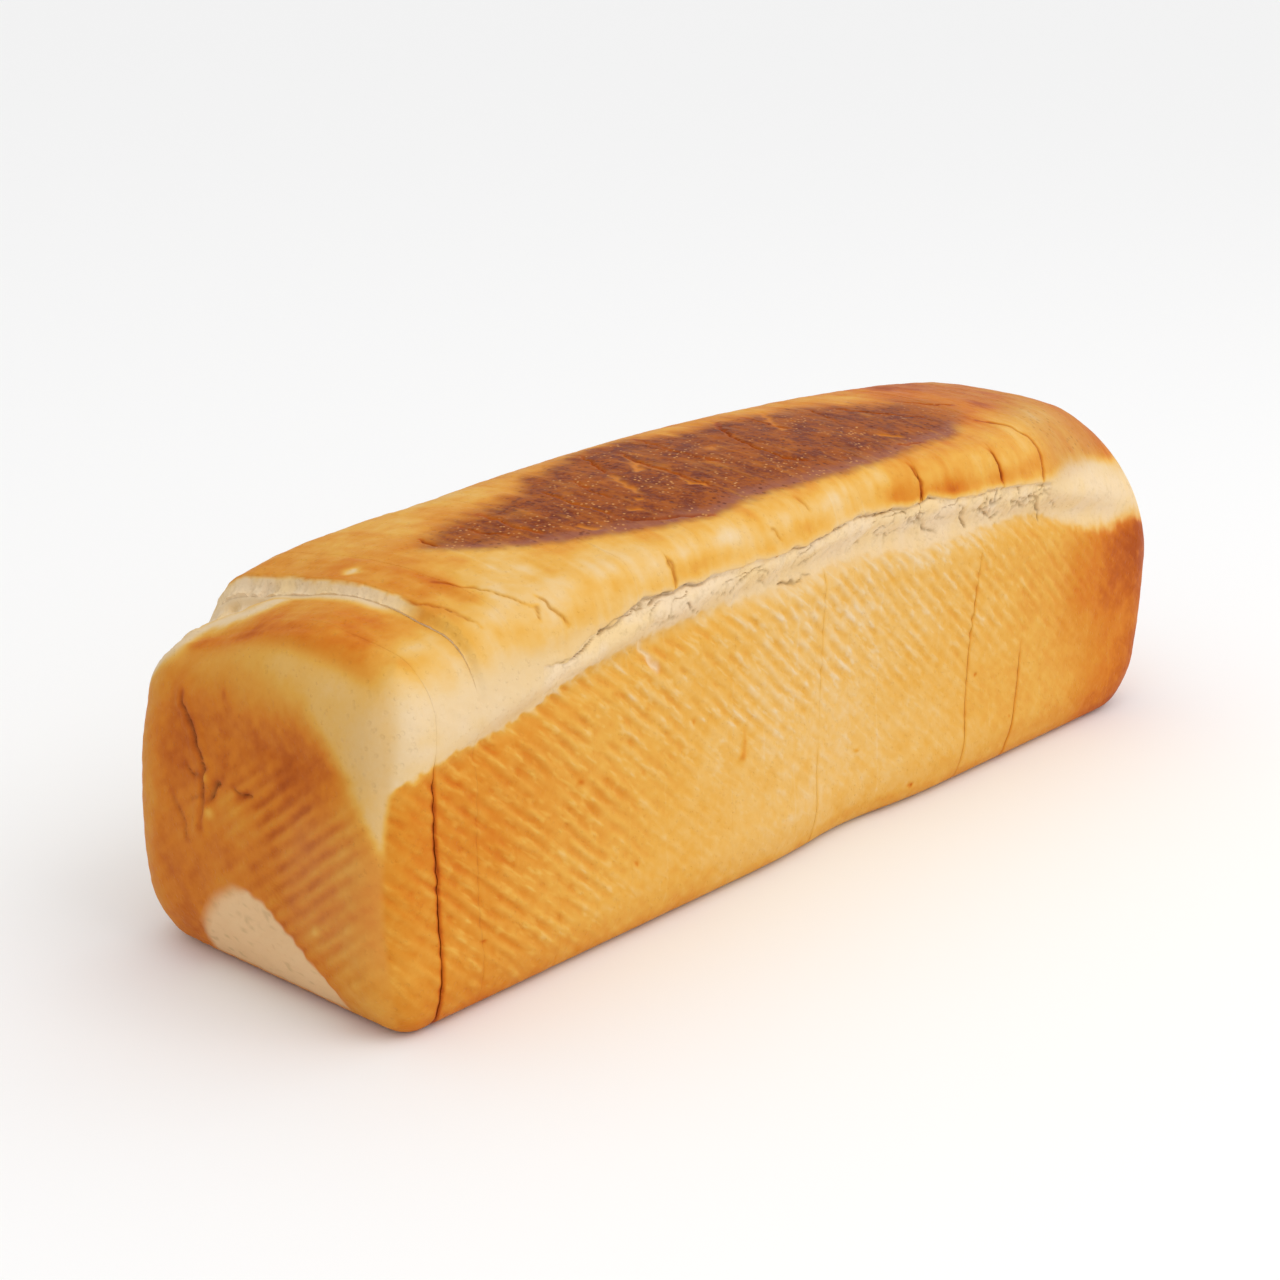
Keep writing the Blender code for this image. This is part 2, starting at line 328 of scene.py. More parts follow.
# The torn band on a long wall, in mm: place along the loaf, and distance round it from the middle
# of the base. The crust of the wall ends at the lower edge and the dome's crust at the upper one.
LOWER_EDGE = ((-160, 106), (-140, 110.5), (-120, 112), (-110, 115), (-100, 119), (-90, 121), (-80, 122),
              (-60, 123), (-40, 123), (-20, 121.5), (0, 120), (20, 118.5), (80, 118.5), (95, 117),
              (110, 111), (120, 108.5), (140, 106), (150, 104), (166, 100))
UPPER_EDGE = ((-160, 121), (-140, 122), (-125, 123.5), (-115, 124.5), (-106, 124.5), (-99, 128), (-88, 131),
              (-80, 133.5), (0, 133.5), (25, 132), (34, 134.5), (45, 132), (60, 132), (70, 131),
              (90, 128), (110, 127.5), (120, 126), (130, 124), (140, 120), (150, 119), (166, 115))

# The dark top: its front and back edges, in the same measures
DARK_FRONT = ((-125, 182), (-114, 176), (-99, 163), (-88, 158), (-72, 154), (-59, 150.5), (-44, 148),
              (-33, 150), (-19, 149.5), (-7, 147.5), (9, 145), (22, 146), (38, 150), (51, 152), (64, 152),
              (76, 156), (100, 164))
DARK_BACK = ((-125, 184), (-100, 188), (-88, 190), (-69, 193), (-60, 200), (-43, 207), (-14, 208),
             (-8, 199), (5, 198), (47, 198), (56, 192), (64, 188), (80, 186), (100, 182))

# Cracks in the torn band: width and depth in mm, then the line
BAND_CRACKS = (
    (0.40, 1.3, ((-113, 124.3), (-108, 125.2), (-105, 124.6), (-98, 127), (-96, 128.4), (-90, 130.4), (-84, 131.6))),
    (0.45, 1.4, ((-82, 133), (-79, 131.4), (-75, 132.6), (-70, 133.6))),
    (0.35, 1.0, ((-66, 129.5), (-62, 126.5), (-57, 122.5))),
    (0.35, 1.0, ((-56, 129.4), (-52, 127.2))),
    (0.40, 1.2, ((-47, 124.5), (-44, 128), (-40, 131), (-36, 132.6))),
    (0.40, 1.2, ((-27, 122.8), (-20, 122), (-12, 121.2))),
    (0.35, 0.9, ((-12, 131.5), (-8, 133.4), (0, 132.8))),
    (0.40, 1.2, ((15, 131), (20, 130.4), (25, 131), (27, 127))),
    (0.45, 1.4, ((30, 131), (33, 127), (36, 124), (40, 122.6), (44, 121.6))),
    (0.45, 1.4, ((46, 130.5), (50, 128), (53, 124), (56, 120.4))),
    (0.55, 1.7, ((60, 131), (62, 128), (60, 125), (63, 123), (68, 121), (72, 122))),
    (0.45, 1.4, ((62, 128), (66, 126), (70, 128))),
    (0.45, 1.4, ((73, 126), (78, 123.5), (82, 121))),
    (0.45, 1.4, ((82, 126), (88, 122), (92, 118), (93, 114))),
    (0.35, 1.0, ((95, 121), (101, 117.5))),
)

# Cracks in the dark top and on the shoulder: width, depth and how dark, then the line
TOP_CRACKS = (
    (0.50, 0.9, 1.0, ((-65, 161), (-62, 158), (-59, 155.5), (-51, 153), (-45, 149.7))),
    (0.45, 0.6, 0.8, ((13, 196), (7, 188), (3, 179.6), (1, 171.5), (1, 160), (5.5, 155.4))),
    (0.35, 0.4, 0.5, ((-107, 183), (-107, 175))),
    (0.35, 0.4, 0.5, ((-87, 187), (-88, 174), (-86, 163))),
    (0.35, 0.4, 0.5, ((-65, 190), (-67, 175), (-65, 161))),
    (0.35, 0.4, 0.5, ((-27, 200), (-32, 186), (-32, 172), (-31, 160))),
    (0.40, 0.4, 0.6, ((38, 154.6), (43, 155), (47, 153.6))),
    (0.35, 0.4, 0.4, ((40, 176), (43, 186), (46, 193))),
    (0.40, 0.4, 0.6, ((-54, 189), (-57, 180), (-58, 170))),
    (0.40, 0.4, 0.6, ((-14, 204), (-17, 193), (-18, 180), (-15, 170))),
    (0.40, 0.4, 0.6, ((52, 190), (56, 181), (62, 172), (70, 166))),
    (0.40, 0.4, 0.5, ((24, 196), (22, 186), (23, 176))),
    (0.40, 0.4, 0.6, ((-96, 184), (-96, 176), (-92, 168))),
    (0.40, 0.4, 0.5, ((76, 182), (82, 174), (90, 168))),
    (0.45, 0.5, 0.6, ((-36, 204), (-41, 193), (-44, 186))),
    (0.40, 0.4, 0.35, ((-109, 142), (-105, 133))),
    (0.40, 0.4, 0.35, ((-111, 139), (-112.5, 135.5))),
    (0.35, 0.3, 0.25, ((-18, 146), (-15, 141))),
    (0.35, 0.3, 0.25, ((-33, 141), (-29, 137.5))),
    (0.45, 0.5, 0.55, ((82, 156), (86, 151), (89, 146), (92, 141), (92.6, 138), (90, 132), (88, 128))),
    (0.35, 0.4, 0.35, ((-69, 142), (-69, 134))),
    (0.45, 0.5, 0.55, ((31, 145), (31.4, 138), (30, 133.5))),
    (0.45, 0.5, 0.50, ((65, 143), (67.6, 138), (68, 132.4))),
    (0.35, 0.3, 0.35, ((-122, 160), (-116, 148), (-112, 139))),
    (0.35, 0.3, 0.30, ((-131, 158), (-128, 148), (-126, 138))),
)

# Orange streaks where the dark top has split: half width, how orange, the line
TOP_STREAKS = (
    (1.3, 0.80, ((-77, 165), (-74, 158.5))),
    (1.2, 0.80, ((-60, 164.5), (-57, 161))),
    (1.2, 0.75, ((-54, 168), (-52, 166))),
    (1.5, 0.80, ((-44, 186), (-48, 177), (-50, 167))),
    (1.6, 0.90, ((-31, 190), (-36, 184), (-38, 180))),
    (1.2, 0.90, ((-33, 173), (-34, 167), (-31, 162))),
    (1.0, 0.55, ((-36, 204), (-41, 193), (-44, 186))),
    (0.9, 0.60, ((-27, 200), (-33, 186), (-33, 174))),
    (0.7, 0.60, ((13, 196), (7, 188), (3, 179.6), (1, 171.5), (1, 160), (5.5, 155.4))),
    (1.2, 0.85, ((19, 176), (25, 187), (36, 202))),
    (1.3, 0.75, ((39, 165), (43, 161), (47, 158))),
    (0.9, 0.65, ((38, 154.6), (47, 153.6))),
    (0.8, 0.50, ((-87, 187), (-88, 174), (-86, 163))),
    (0.8, 0.50, ((-107, 183), (-107, 175))),
    (0.8, 0.50, ((-65, 190), (-67, 175), (-65, 161))),
)

# Blisters and dots on the front wall: place, size along and round, how much browner, how high in mm
WALL_SPOTS = (
    (-99, 90.5, 1.1, 0.9, 0.30, 0.10),
    (-39, 84, 1.0, 3.0, 0.16, 0.20),
    (-40, 80.5, 1.5, 1.2, 0.24, 0.15),
    (63, 76, 0.6, 0.6, 0.45, -0.20),
    (34.5, 49.5, 0.7, 0.7, 0.60, -0.30),
    (11, 65, 1.0, 0.7, 0.26, 0.10),
    (-80, 64, 0.6, 0.5, 0.30, -0.10),
    (-58, 95, 0.6, 0.6, 0.20, -0.10),
    (-132, 62, 0.8, 0.6, 0.25, -0.10),
    (80, 59, 0.6, 0.5, 0.35, -0.10),
    (-86, 109, 2.0, 1.2, 0.20, 0.05),
    (-76, 103, 1.6, 1.2, 0.16, 0.05),
    (-119, 100, 3.0, 2.4, 0.12, 0.05),
    (-127, 84, 3.5, 3.0, 0.10, 0.05),
)

# Browner and paler patches of the dome: the same measures as the wall's blisters
DOME_PATCHES = (
    (-121, 158, 2.4, 9.0, 0.24, -0.10),
    (-114, 153, 4.5, 7.0, -0.14, 0.20),
    (-127, 181, 1.6, 2.8, -0.50, -0.15),
    (-106, 141, 5.0, 4.0, -0.08, 0.10),
    (-101, 148, 5.0, 2.6, 0.14, 0.0),
    (-88, 139, 7.0, 2.4, 0.14, 0.0),
    (-60, 138, 8.0, 2.2, 0.16, 0.0),
    (-48, 143, 5.0, 2.6, -0.10, 0.15),
    (-22, 138, 7.0, 2.4, 0.12, 0.0),
    (-6, 141, 6.0, 3.0, -0.10, 0.15),
    (22, 137, 8.0, 2.6, 0.14, 0.0),
    (42, 136, 9.0, 2.6, 0.26, -0.05),
    (52, 145, 7.0, 4.0, -0.08, 0.10),
    (76, 134, 8.0, 2.6, 0.18, 0.0),
    (-36, 207, 7.0, 4.0, -0.12, 0.0),
    (70, 194, 9.0, 5.0, -0.16, 0.0),
    (110, 150, 9.0, 6.0, -0.16, 0.0),
)

# How far each cut strays from its plane, in mm, against the distance round the loaf
CUT_DRIFT = {
    11: ((50, -2.6), (85, -1.0), (120, -0.4), (140, 0.0)),
    14: ((110, 0.0), (135, -1.3), (150, -0.6), (170, 0.0)),
    16: ((50, -0.8), (80, 1.6), (110, 4.8), (125, 3.0), (140, 0.0)),
    17: ((110, 0.0), (134, -2.6), (145, -4.0), (165, 0.0)),
    18: ((50, -2.2), (66, 0.6), (80, 2.9), (110, 3.5), (140, 0.0)),
}

# Where a cut stands open, in mm, against the distance round the loaf
CUT_OPENING = {
    0: ((46, 0.36), (100, 0.28), (107, 0.14), (112, 0.03), (150, 0.03), (175, 0.004)),
    1: ((46, 0.02), (60, 0.05), (108, 0.04), (112, 0.004)),
    3: ((46, 0.04), (60, 0.04), (66, 0.004)),
    6: ((130, 0.004), (134, 0.10), (141, 0.08), (145, 0.004)),
    11: ((46, 0.10), (68, 0.08), (76, 0.004), (84, 0.05), (119, 0.08), (122, 0.004)),
    14: ((110, 0.004), (131, 0.02), (134, 0.18), (143, 0.14), (148, 0.004)),
    16: ((46, 0.08), (54, 0.14), (100, 0.15), (109, 0.08), (114, 0.004)),
    17: ((128, 0.004), (133, 0.16), (141, 0.14), (146, 0.004)),
    18: ((46, 0.20), (72, 0.18), (79, 0.06), (86, 0.004)),
}


def along_edge(x, edge):
    """Height of a drawn edge at x, by straight lines between its points."""
    return np.interp(x, [p[0] for p in edge], [p[1] for p in edge])


def cut_plane(k):
    return NEAR_HEEL - BASE_LENGTH / 2 + SLICE_PITCH * k


def piece_shift(index):
    """A piece's own small shift across the row, and how far its top has settled."""
    return SHIFT * np.sin(SHIFT_TURN * index + SHIFT_START), SETTLE * np.sin(SETTLE_TURN * index)


def ray_angles():
    """Angles that spread the rays by the outline at the loaf's middle, closest over the torn band and dome."""
    fine = np.linspace(0.0, 2.0 * np.pi, 2880, endpoint=False)
    rays = np.stack([np.zeros(fine.size), np.sin(fine), -np.cos(fine)], axis=-1)
    points = reach_surface(np.array([0.0, 0.0, CENTRE_HEIGHT]), rays, 0.0)
    length = np.linalg.norm(np.roll(points, -1, axis=0) - points, axis=-1) / MM
    walked = np.concatenate([[0.0], np.cumsum(length)])
    front = walked[-1] - walked[:-1]
    care = np.interp(front, (0, 40, 50, 98, 106, 160, 215, 250, 300, 322, 332, 400),
                     (0.35, 0.35, 1.1, 1.0, 1.35, 1.3, 1.0, 0.8, 0.7, 0.7, 0.35, 0.35))
    weighted = np.concatenate([[0.0], np.cumsum(length * care)])
    stops = np.linspace(0.0, weighted[-1], RAYS, endpoint=False)
    return np.interp(stops, weighted, np.append(fine, 2.0 * np.pi))


ANGLES = ray_angles()
RAY_Y, RAY_Z = np.sin(ANGLES), -np.cos(ANGLES)


def section(x, sunk):
    """Outline of the form in the plane at x, one point a ray."""
    rays = np.stack([np.zeros(RAYS), RAY_Y, RAY_Z], axis=-1)
    return reach_surface(np.array([x, 0.0, CENTRE_HEIGHT]), rays, sunk)


def girths():
    """For each cut, the distance round the loaf in mm from the middle of the base, front wall first."""
    rows = []
    for k in range(SLICES + 1):
        outline = section(cut_plane(k), 0.0)
        length = np.linalg.norm(np.roll(outline, -1, axis=0) - outline, axis=-1) / MM
        walked = np.concatenate([[0.0], np.cumsum(length)])
        rows.append((walked[-1] - walked[:-1], walked[-1]))
    return rows


GIRTHS = girths()


def cut_line(k, side):
    """Place in mm along the loaf of one piece's edge at cut k, for every ray. side is +1 beyond the cut."""
    girth, total = GIRTHS[k]
    near_side = np.minimum(girth, total - girth)
    drift = along_edge(girth, CUT_DRIFT[k]) if k in CUT_DRIFT else np.zeros(RAYS)
    wander = 0.25 * np.sin(girth / 9.0 + 2.1 * k) + 0.12 * np.sin(girth / 3.1 + 1.3 * k)
    opening = np.full(RAYS, CLOSED_CUT)
    if k in CUT_OPENING:
        opening = np.where(girth < 200.0, along_edge(girth, CUT_OPENING[k]), CLOSED_CUT)
        if k == 0:
            opening = np.maximum(opening, along_edge(near_side, ((46, 0.30), (100, 0.22), (110, 0.004))))
        opening = np.maximum(opening * (1.0 + 0.35 * np.sin(girth / 1.7 + k) * np.sin(girth / 4.3)), CLOSED_CUT)
    ends = smooth_step(near_side / 20.0)
    return cut_plane(k) / MM + (drift + wander) * ends + 0.5 * side * opening


def cut_show(k, girth):
    """How plainly cut k shows at each distance round the loaf: 0 closed, 1 open by 0.35 mm or more."""
    if k not in CUT_OPENING:
        return np.zeros(girth.shape)
    opening = np.where(girth < 200.0, along_edge(girth, CUT_OPENING[k]), CLOSED_CUT)
    return np.clip((opening - CLOSED_CUT) / 0.30, 0.0, 1.0)


def spots(u, v, marks):
    """Sum of oval spots: (how much browner, how high in mm)."""
    browner, height = np.zeros(u.shape), np.zeros(u.shape)
    for at_u, at_v, wide, tall, brown, high in marks:
        spot = hump(np.hypot((u - at_u) / wide, (v - at_v) / tall))
        browner += brown * spot
        height += high * spot
    return browner, height


def streaks(lengthways, across, long, wide, seed):
    """Unevenness drawn out one way, from -1 to 1, in mm."""
    flat = np.stack([lengthways / long, across / wide, np.zeros(across.shape)], axis=-1)
    return 0.65 * unevenness(flat, 1.0, seed) + 0.35 * unevenness(flat * 2.0, 1.0, seed + 5)


def wall_ribs(x, girth, points):
    """The tin's slanting ribs on a long wall: their height from -1 to 1, and pale streaks along them.

    A wave across 3.7 mm, bent a little, and broken into dashes along its length.
    """
    slant = np.radians(42.0)
    across = x * np.sin(slant) + girth * np.cos(slant)
    lengthways = x * np.cos(slant) - girth * np.sin(slant)
    bend = 0.13 * unevenness(points, 16 * MM, 31) + 0.06 * unevenness(points, 5 * MM, 33)
    wave = np.cos(2.0 * np.pi * (across / 3.7 + bend))
    dashes = np.clip(0.62 + 1.0 * streaks(lengthways, across, 4.8, 2.8, 32), 0.0, 1.3)
    by_height = np.interp(girth, (48, 60, 78, 90, 116, 124), (0.10, 0.25, 0.40, 1.0, 1.0, 0.0))
    low_too = smooth_step((-75.0 - x) / 25.0)
    by_height = by_height + low_too * (np.interp(girth, (48, 58, 116, 124), (0.3, 1.0, 1.0, 0.0)) - by_height)
    by_length = np.interp(x, (-156, -140, -85, 60, 100, 125, 160), (0.6, 1.1, 1.1, 0.85, 0.55, 0.3, 0.15))
    strength = by_height * by_length
    pale_streaks = np.clip(streaks(lengthways, across, 3.6, 0.9, 34) * 2.4 - 0.45, 0.0, 1.0)
    return wave * dashes * strength, pale_streaks * (0.25 + strength)


def wall_bake(x, girth, points):
    """How far a long wall is baked, from 0 for cream to 1 for dark brown."""
    middle = np.interp(x, (-160, -145, -125, -110, -85, -60, -30, 0, 30, 60, 100, 115, 130, 150, 166),
                       (0.62, 0.66, 0.61, 0.53, 0.45, 0.39, 0.32, 0.29, 0.33, 0.40, 0.48, 0.60, 0.76, 0.90, 0.93))
    middle = middle + 0.12 * smooth_step((x - 105.0) / 20.0) * smooth_step((72.0 - girth) / 14.0)
    high_end = smooth_step((x - 95.0) / 25.0) * 0.22 * (hump((girth - 92.0) / 20.0) - 0.5)
    left_mid = smooth_step((-70.0 - x) / 25.0) * 0.10 * (hump((girth - 88.0) / 22.0) - 0.5)
    foot = 0.05 * smooth_step((58.0 - girth) / 8.0) + 0.10 * smooth_step((49.5 - girth) / 2.5)
    mottled = 0.08 * rough(points, 13 * MM, 41) + 0.09 * rough(points, 4.5 * MM, 43) + 0.05 * rough(points, 1.6 * MM, 42, 2)
    return middle + high_end + left_mid + foot + mottled


def dome_bake(x, girth, points):
    """How far the dome's crust is baked, without its dark top, made paler along the front shoulder where a highlight is
    painted.
    """
    shoulder = np.interp(x, (-160, -140, -120, -100, -60, 0, 30, 60, 95, 120, 140, 166),
                         (0.34, 0.34, 0.26, 0.25, 0.30, 0.38, 0.49, 0.46, 0.42, 0.50, 0.78, 0.84))
    upper = np.interp(x, (-160, -150, -142, -128, -116, -106, -92, -60, 60, 80, 100, 128, 166),
                      (0.66, 0.76, 0.70, 0.62, 0.56, 0.42, 0.48, 0.54, 0.60, 0.80, 0.86, 0.70, 0.76))
    rise = np.interp(x, (-160, -120, -100, 60, 90, 166), (10.0, 14.0, 24.0, 14.0, 22.0, 24.0))
    start = np.interp(x, (-160, -140, -115, 60, 90, 166), (133.0, 136.0, 140.0, 136.0, 146.0, 138.0))
    climb = smooth_step((girth - start) / rise)
    front = shoulder + (upper - shoulder) * climb
    back = np.interp(x, (-160, -120, -60, 0, 60, 100, 166), (0.55, 0.62, 0.58, 0.46, 0.34, 0.50, 0.72))
    bake = back + (front - back) * smooth_step((246.0 - girth) / 44.0)
    patches = 0.19 * rough(points, 10 * MM, 51) + 0.10 * rough(points, 3 * MM, 52)
    strands = 0.10 * streaks(girth + 0.35 * x, x, 15.0, 4.5, 53) + 0.05 * streaks(girth + 0.3 * x, x, 12.0, 1.6, 55)
    warm_foot = 0.10 * hump((girth - 134.5) / 2.6) * smooth_step(unevenness(points, 11 * MM, 54) * 2.0 + 0.6)
    # painted highlight: a paler band about 141.5 mm round, from 75 mm before the middle to 30 mm past it
    painted_highlight = 0.09 * hump((girth - 141.5) / 3.0) * smooth_step((x + 75.0) / 10.0) * smooth_step((30.0 - x) / 12.0)
    return bake + patches * (0.7 + 0.3 * climb) + strands + warm_foot - painted_highlight


def dark_top(x, girth, points):
    """The dark top's mask from 0 to 1, the band along its front edge where a purple-grey sheen is painted, and the
    browner crust round it.
    """
    ragged = 1.6 * rough(points, 7 * MM, 61) + 0.5 * unevenness(points, 1.6 * MM, 62)
    tails = streaks(girth + 0.45 * x, x, 13.0, 2.6, 64)
    front = along_edge(x, DARK_FRONT) + ragged
    back = along_edge(x, DARK_BACK) + 3.0 * rough(points, 8 * MM, 63) + 4.0 * tails
    front_fade = np.interp(x, (-115, -80, 60, 90), (7.0, 5.0, 5.0, 12.0))
    back_fade = np.interp(x, (-115, -70, 0, 90), (13.0, 10.0, 9.0, 14.0))
    start = -124.0 + 0.8 * np.clip(girth - 172.0, 0.0, 30.0) + 5.0 * tails
    ends = smooth_step((x - start) / 18.0) * smooth_step((98.0 - x) / 34.0)
    mask = smooth_step((girth - front + 1.5) / front_fade) * smooth_step((back - girth + 3.0) / back_fade)
    lighter_char_and_darker_cut_edge = 0.55 * smooth_step(rough(points, 9 * MM, 66) * 1.8 - 0.15) * smooth_step((girth - front - 14.0) / 14.0)
    lighter_char_and_darker_cut_edge = lighter_char_and_darker_cut_edge + 0.42 * np.clip(streaks(girth + 0.45 * x, x, 8.0, 1.5, 65) - 0.05, 0.0, 1.0)
    # rim: where the dark top takes the painted sheen, a purple-grey reflection painted along its front edge
    rim = hump((girth - front - 3.0) / 3.2) * ends
    round_it = smooth_step((girth - front - 1.0) / 6.0) * smooth_step((back + 9.0 - girth) / 14.0)
    round_it = round_it * smooth_step((x - start + 16.0) / 20.0) * smooth_step((118.0 - x) / 20.0)
    return mask * ends * (1.0 - np.clip(lighter_char_and_darker_cut_edge, 0.0, 0.75)), rim * mask, round_it


def band_looks(x, around, points):
    """The torn band on one long wall: masks and heights for its crumb, lip and slit, by name.

    around is the distance round from the nearer side of the base. share climbs from 0 at the lower
    edge to 1 at the upper one, and the crumb lies deepest just under the dome's lip.
    """
    wide = rough(points, 6 * MM, 71)
    fine = unevenness(points, 1.5 * MM, 72)
    lower = along_edge(x, LOWER_EDGE) + 1.3 * wide + 0.6 * fine + 0.8 * streaks(around, x, 9.0, 2.2, 80)
    upper = along_edge(x, UPPER_EDGE) + 0.6 * unevenness(points, 5 * MM, 73) + 0.3 * unevenness(points, 1.4 * MM, 74)
    torn = smooth_step((x + 118.0) / 10.0) * smooth_step((97.0 - x) / 8.0)
    soft = np.interp(x, (-160, -115, 92, 112, 166), (2.6, 1.8, 1.8, 8.0, 10.0))
    over_lower = smooth_step((around - lower) / soft + 0.5)
    under_upper = smooth_step((upper - around + 0.3) / np.where(torn > 0.5, 0.6, 6.0))
    band = over_lower * under_upper
    share = np.clip((around - lower) / np.maximum(upper - lower, 2.0), 0.0, 1.0)
    fibres = rough(points * np.array([1.0, 1.0, 0.5]), 3.0 * MM, 75)
    lumps = unevenness(points, 5.0 * MM, 83)
    height = -band * (0.15 + 0.85 * share ** 1.5) * torn
    height = height + band * torn * (0.34 * fibres + 0.50 * lumps + 0.05 * unevenness(points, 0.9 * MM, 76))
    parting = unevenness(points * np.array([0.75, 1.0, 1.1]), 4.6 * MM, 67) + 0.30 * unevenness(points, 1.6 * MM, 68)
    some_torn = smooth_step(unevenness(points, 8 * MM, 69) * 2.4 + 0.45)
    rift = hump(parting / 0.065) * some_torn * band * torn * smooth_step(share * 2.5)
    height = height - 0.60 * rift
    height = height + 0.30 * hump((around - upper - 1.2) / 1.3) * torn
    some = smooth_step(unevenness(points, 7 * MM, 77) * 2.2 + 0.55)
    slit = hump((around - upper + 0.40) / 0.36) * torn * some
    height = height - 0.45 * slit
    slit = np.maximum(slit, 1.3 * rift)
    return {"band": band, "over_lower": over_lower, "torn": torn, "lower": lower, "upper": upper, "height": height, "slit": slit}


def crust_looks(x, girth, total, points):
    """Everything on the crust round the loaf: raised height in mm, and its masks by name."""
    on_back = girth > total / 2
    around = np.where(on_back, total - girth, girth)
    edge_x = np.where(on_back, 0.92 * x + 6.0, x)
    torn_band = band_looks(edge_x, around, points)
    band, torn, lower, upper = (torn_band[name] for name in ("band", "torn", "lower", "upper"))

    ribs, pale_streaks = wall_ribs(edge_x, around, points)
    brown = wall_bake(edge_x, around, points)
    pale_reach = np.interp(x, (-150, -100, 20, 60, 90, 120), (3.5, 5.0, 7.0, 9.0, 7.0, 4.0))
    pale_rise = smooth_step((around - lower + pale_reach) / (pale_reach + 1.0))
    brown = brown - (0.12 + 0.35 * (brown - 0.30)) * pale_rise - 0.085 * ribs - 0.10 * pale_streaks
    dome = dome_bake(x, girth, points)
    left = smooth_step((-112.0 - x) / 10.0)
    foot_reach = np.interp(x, (-160, -115, -90, 90, 110, 125, 166), (12.0, 11.0, 2.5, 2.5, 8.0, 6.0, 4.0))
    low_dome = smooth_step((around - upper) / foot_reach)
    foot_bake = np.interp(x, (-150, -120, -95, 90, 110, 130, 150), (0.06, 0.12, 0.20, 0.20, 0.06, 0.08, 0.30))
    dome = foot_bake + (dome - foot_bake) * low_dome
    on_dome = smooth_step((around - upper) / 0.8 + 0.5)
    bake = brown + (dome - brown) * np.maximum(on_dome, torn_band["over_lower"])
    share = np.clip((around - lower) / np.maximum(upper - lower, 2.0), 0.0, 1.0)
    bake = bake + (0.13 - 0.08 * share + 0.06 * rough(points, 3 * MM, 107) - bake) * band
    crumb = band * (0.15 + 0.55 * smooth_step((x - 90.0) / 12.0) * (1.0 - torn) + 0.85 * torn * (0.30 + 0.70 * smooth_step(share * 1.7)))
    # painted shade: the crack colour put along the slit under the dome's lip
    crack = 0.35 * torn_band["slit"]

    height = torn_band["height"] + (0.26 * ribs + 0.06 * pale_streaks) * (1.0 - band) * (1.0 - on_dome)
    height = height + (0.16 * rough(points, 7 * MM, 84) + 0.03 * unevenness(points, 1.5 * MM, 85)) * (1.0 - band)

    wander_x = x + 0.9 * unevenness(points, 2.2 * MM, 78)
    wander_g = girth + 0.9 * unevenness(points, 2.2 * MM, 79)
    for width, depth, line in BAND_CRACKS:
        gap, along = path_distance(wander_x, wander_g, line)
        cut = hump(gap / width) * smooth_step(along * 8.0) * smooth_step((1.0 - along) * 8.0)
        cut = cut * np.clip(0.75 + 0.8 * unevenness(points, 1.6 * MM, 70), 0.1, 1.2)
        height = height - 0.6 * depth * cut
        # painted shade along each crack of the torn band
        crack = np.maximum(crack, 0.65 * hump(gap / (0.7 * width)) * np.minimum(1.0, 1.6 * cut))

    char, rim, round_it = dark_top(x, girth, points)
    bake = bake + (0.76 + 0.08 * rough(points, 4 * MM, 87) - bake) * 0.75 * round_it
    for width, orange, line in TOP_STREAKS:
        gap, along = path_distance(wander_x, wander_g, line)
        streak = orange * hump(gap / (0.7 * width)) * smooth_step(along * 4.0) * smooth_step((1.0 - along) * 4.0)
        char = char * (1.0 - streak)
        bake = bake + streak * (0.74 - bake)
        height = height - 0.35 * streak
    for width, depth, dark, line in TOP_CRACKS:
        gap, along = path_distance(wander_x, wander_g, line)
        cut = hump(gap / width) * smooth_step(along * 6.0) * smooth_step((1.0 - along) * 6.0)
        height = height - depth * cut
        line_dark = np.minimum(1.0, 1.3 * dark) * cut
        bake = bake + 0.45 * dark * hump(gap / (1.6 * width)) * (1.0 - band) + line_dark * char * (0.90 - bake)
        char = np.where(char > 0.4, char * (1.0 - 0.8 * line_dark), np.maximum(char, 0.8 * line_dark * (1.0 - band)))

    # painted shade: beyond 88 mm along and above 124 mm round, the crust is darkened towards the dark top's colour,
    # with the painted sheen
    painted_shade = 0.26 * smooth_step((x - 88.0) / 18.0) * smooth_step((girth - 124.0) / 8.0) * (1.0 - band)
    char, rim = np.maximum(char, painted_shade), np.maximum(rim, smooth_step(painted_shade * 5.0) * (1.0 - char))
    wrinkled = smooth_step((girth - 140.0) / 12.0) * smooth_step((235.0 - girth) / 20.0)
    strings = streaks(girth + 0.3 * x, x, 15.0, 2.4, 81)
    height = height + wrinkled * (0.14 + 0.16 * left) * strings
    height = height + 0.10 * char * rough(points, 1.1 * MM, 82, 2)
    spot_brown, spot_height = spots(wander_x, wander_g, WALL_SPOTS + DOME_PATCHES)
    bake = bake + spot_brown
    height = height + spot_height
    gash, along = path_distance(wander_x, wander_g, ((-79, 121), (-76.5, 117), (-73, 112)))
    scar = hump(gash / 0.8)
    height = height - 0.5 * scar
    crumb = np.maximum(crumb, 0.8 * scar)
    return height, {"bake": bake, "char": char, "rim": rim, "crumb": crumb, "crack": crack}


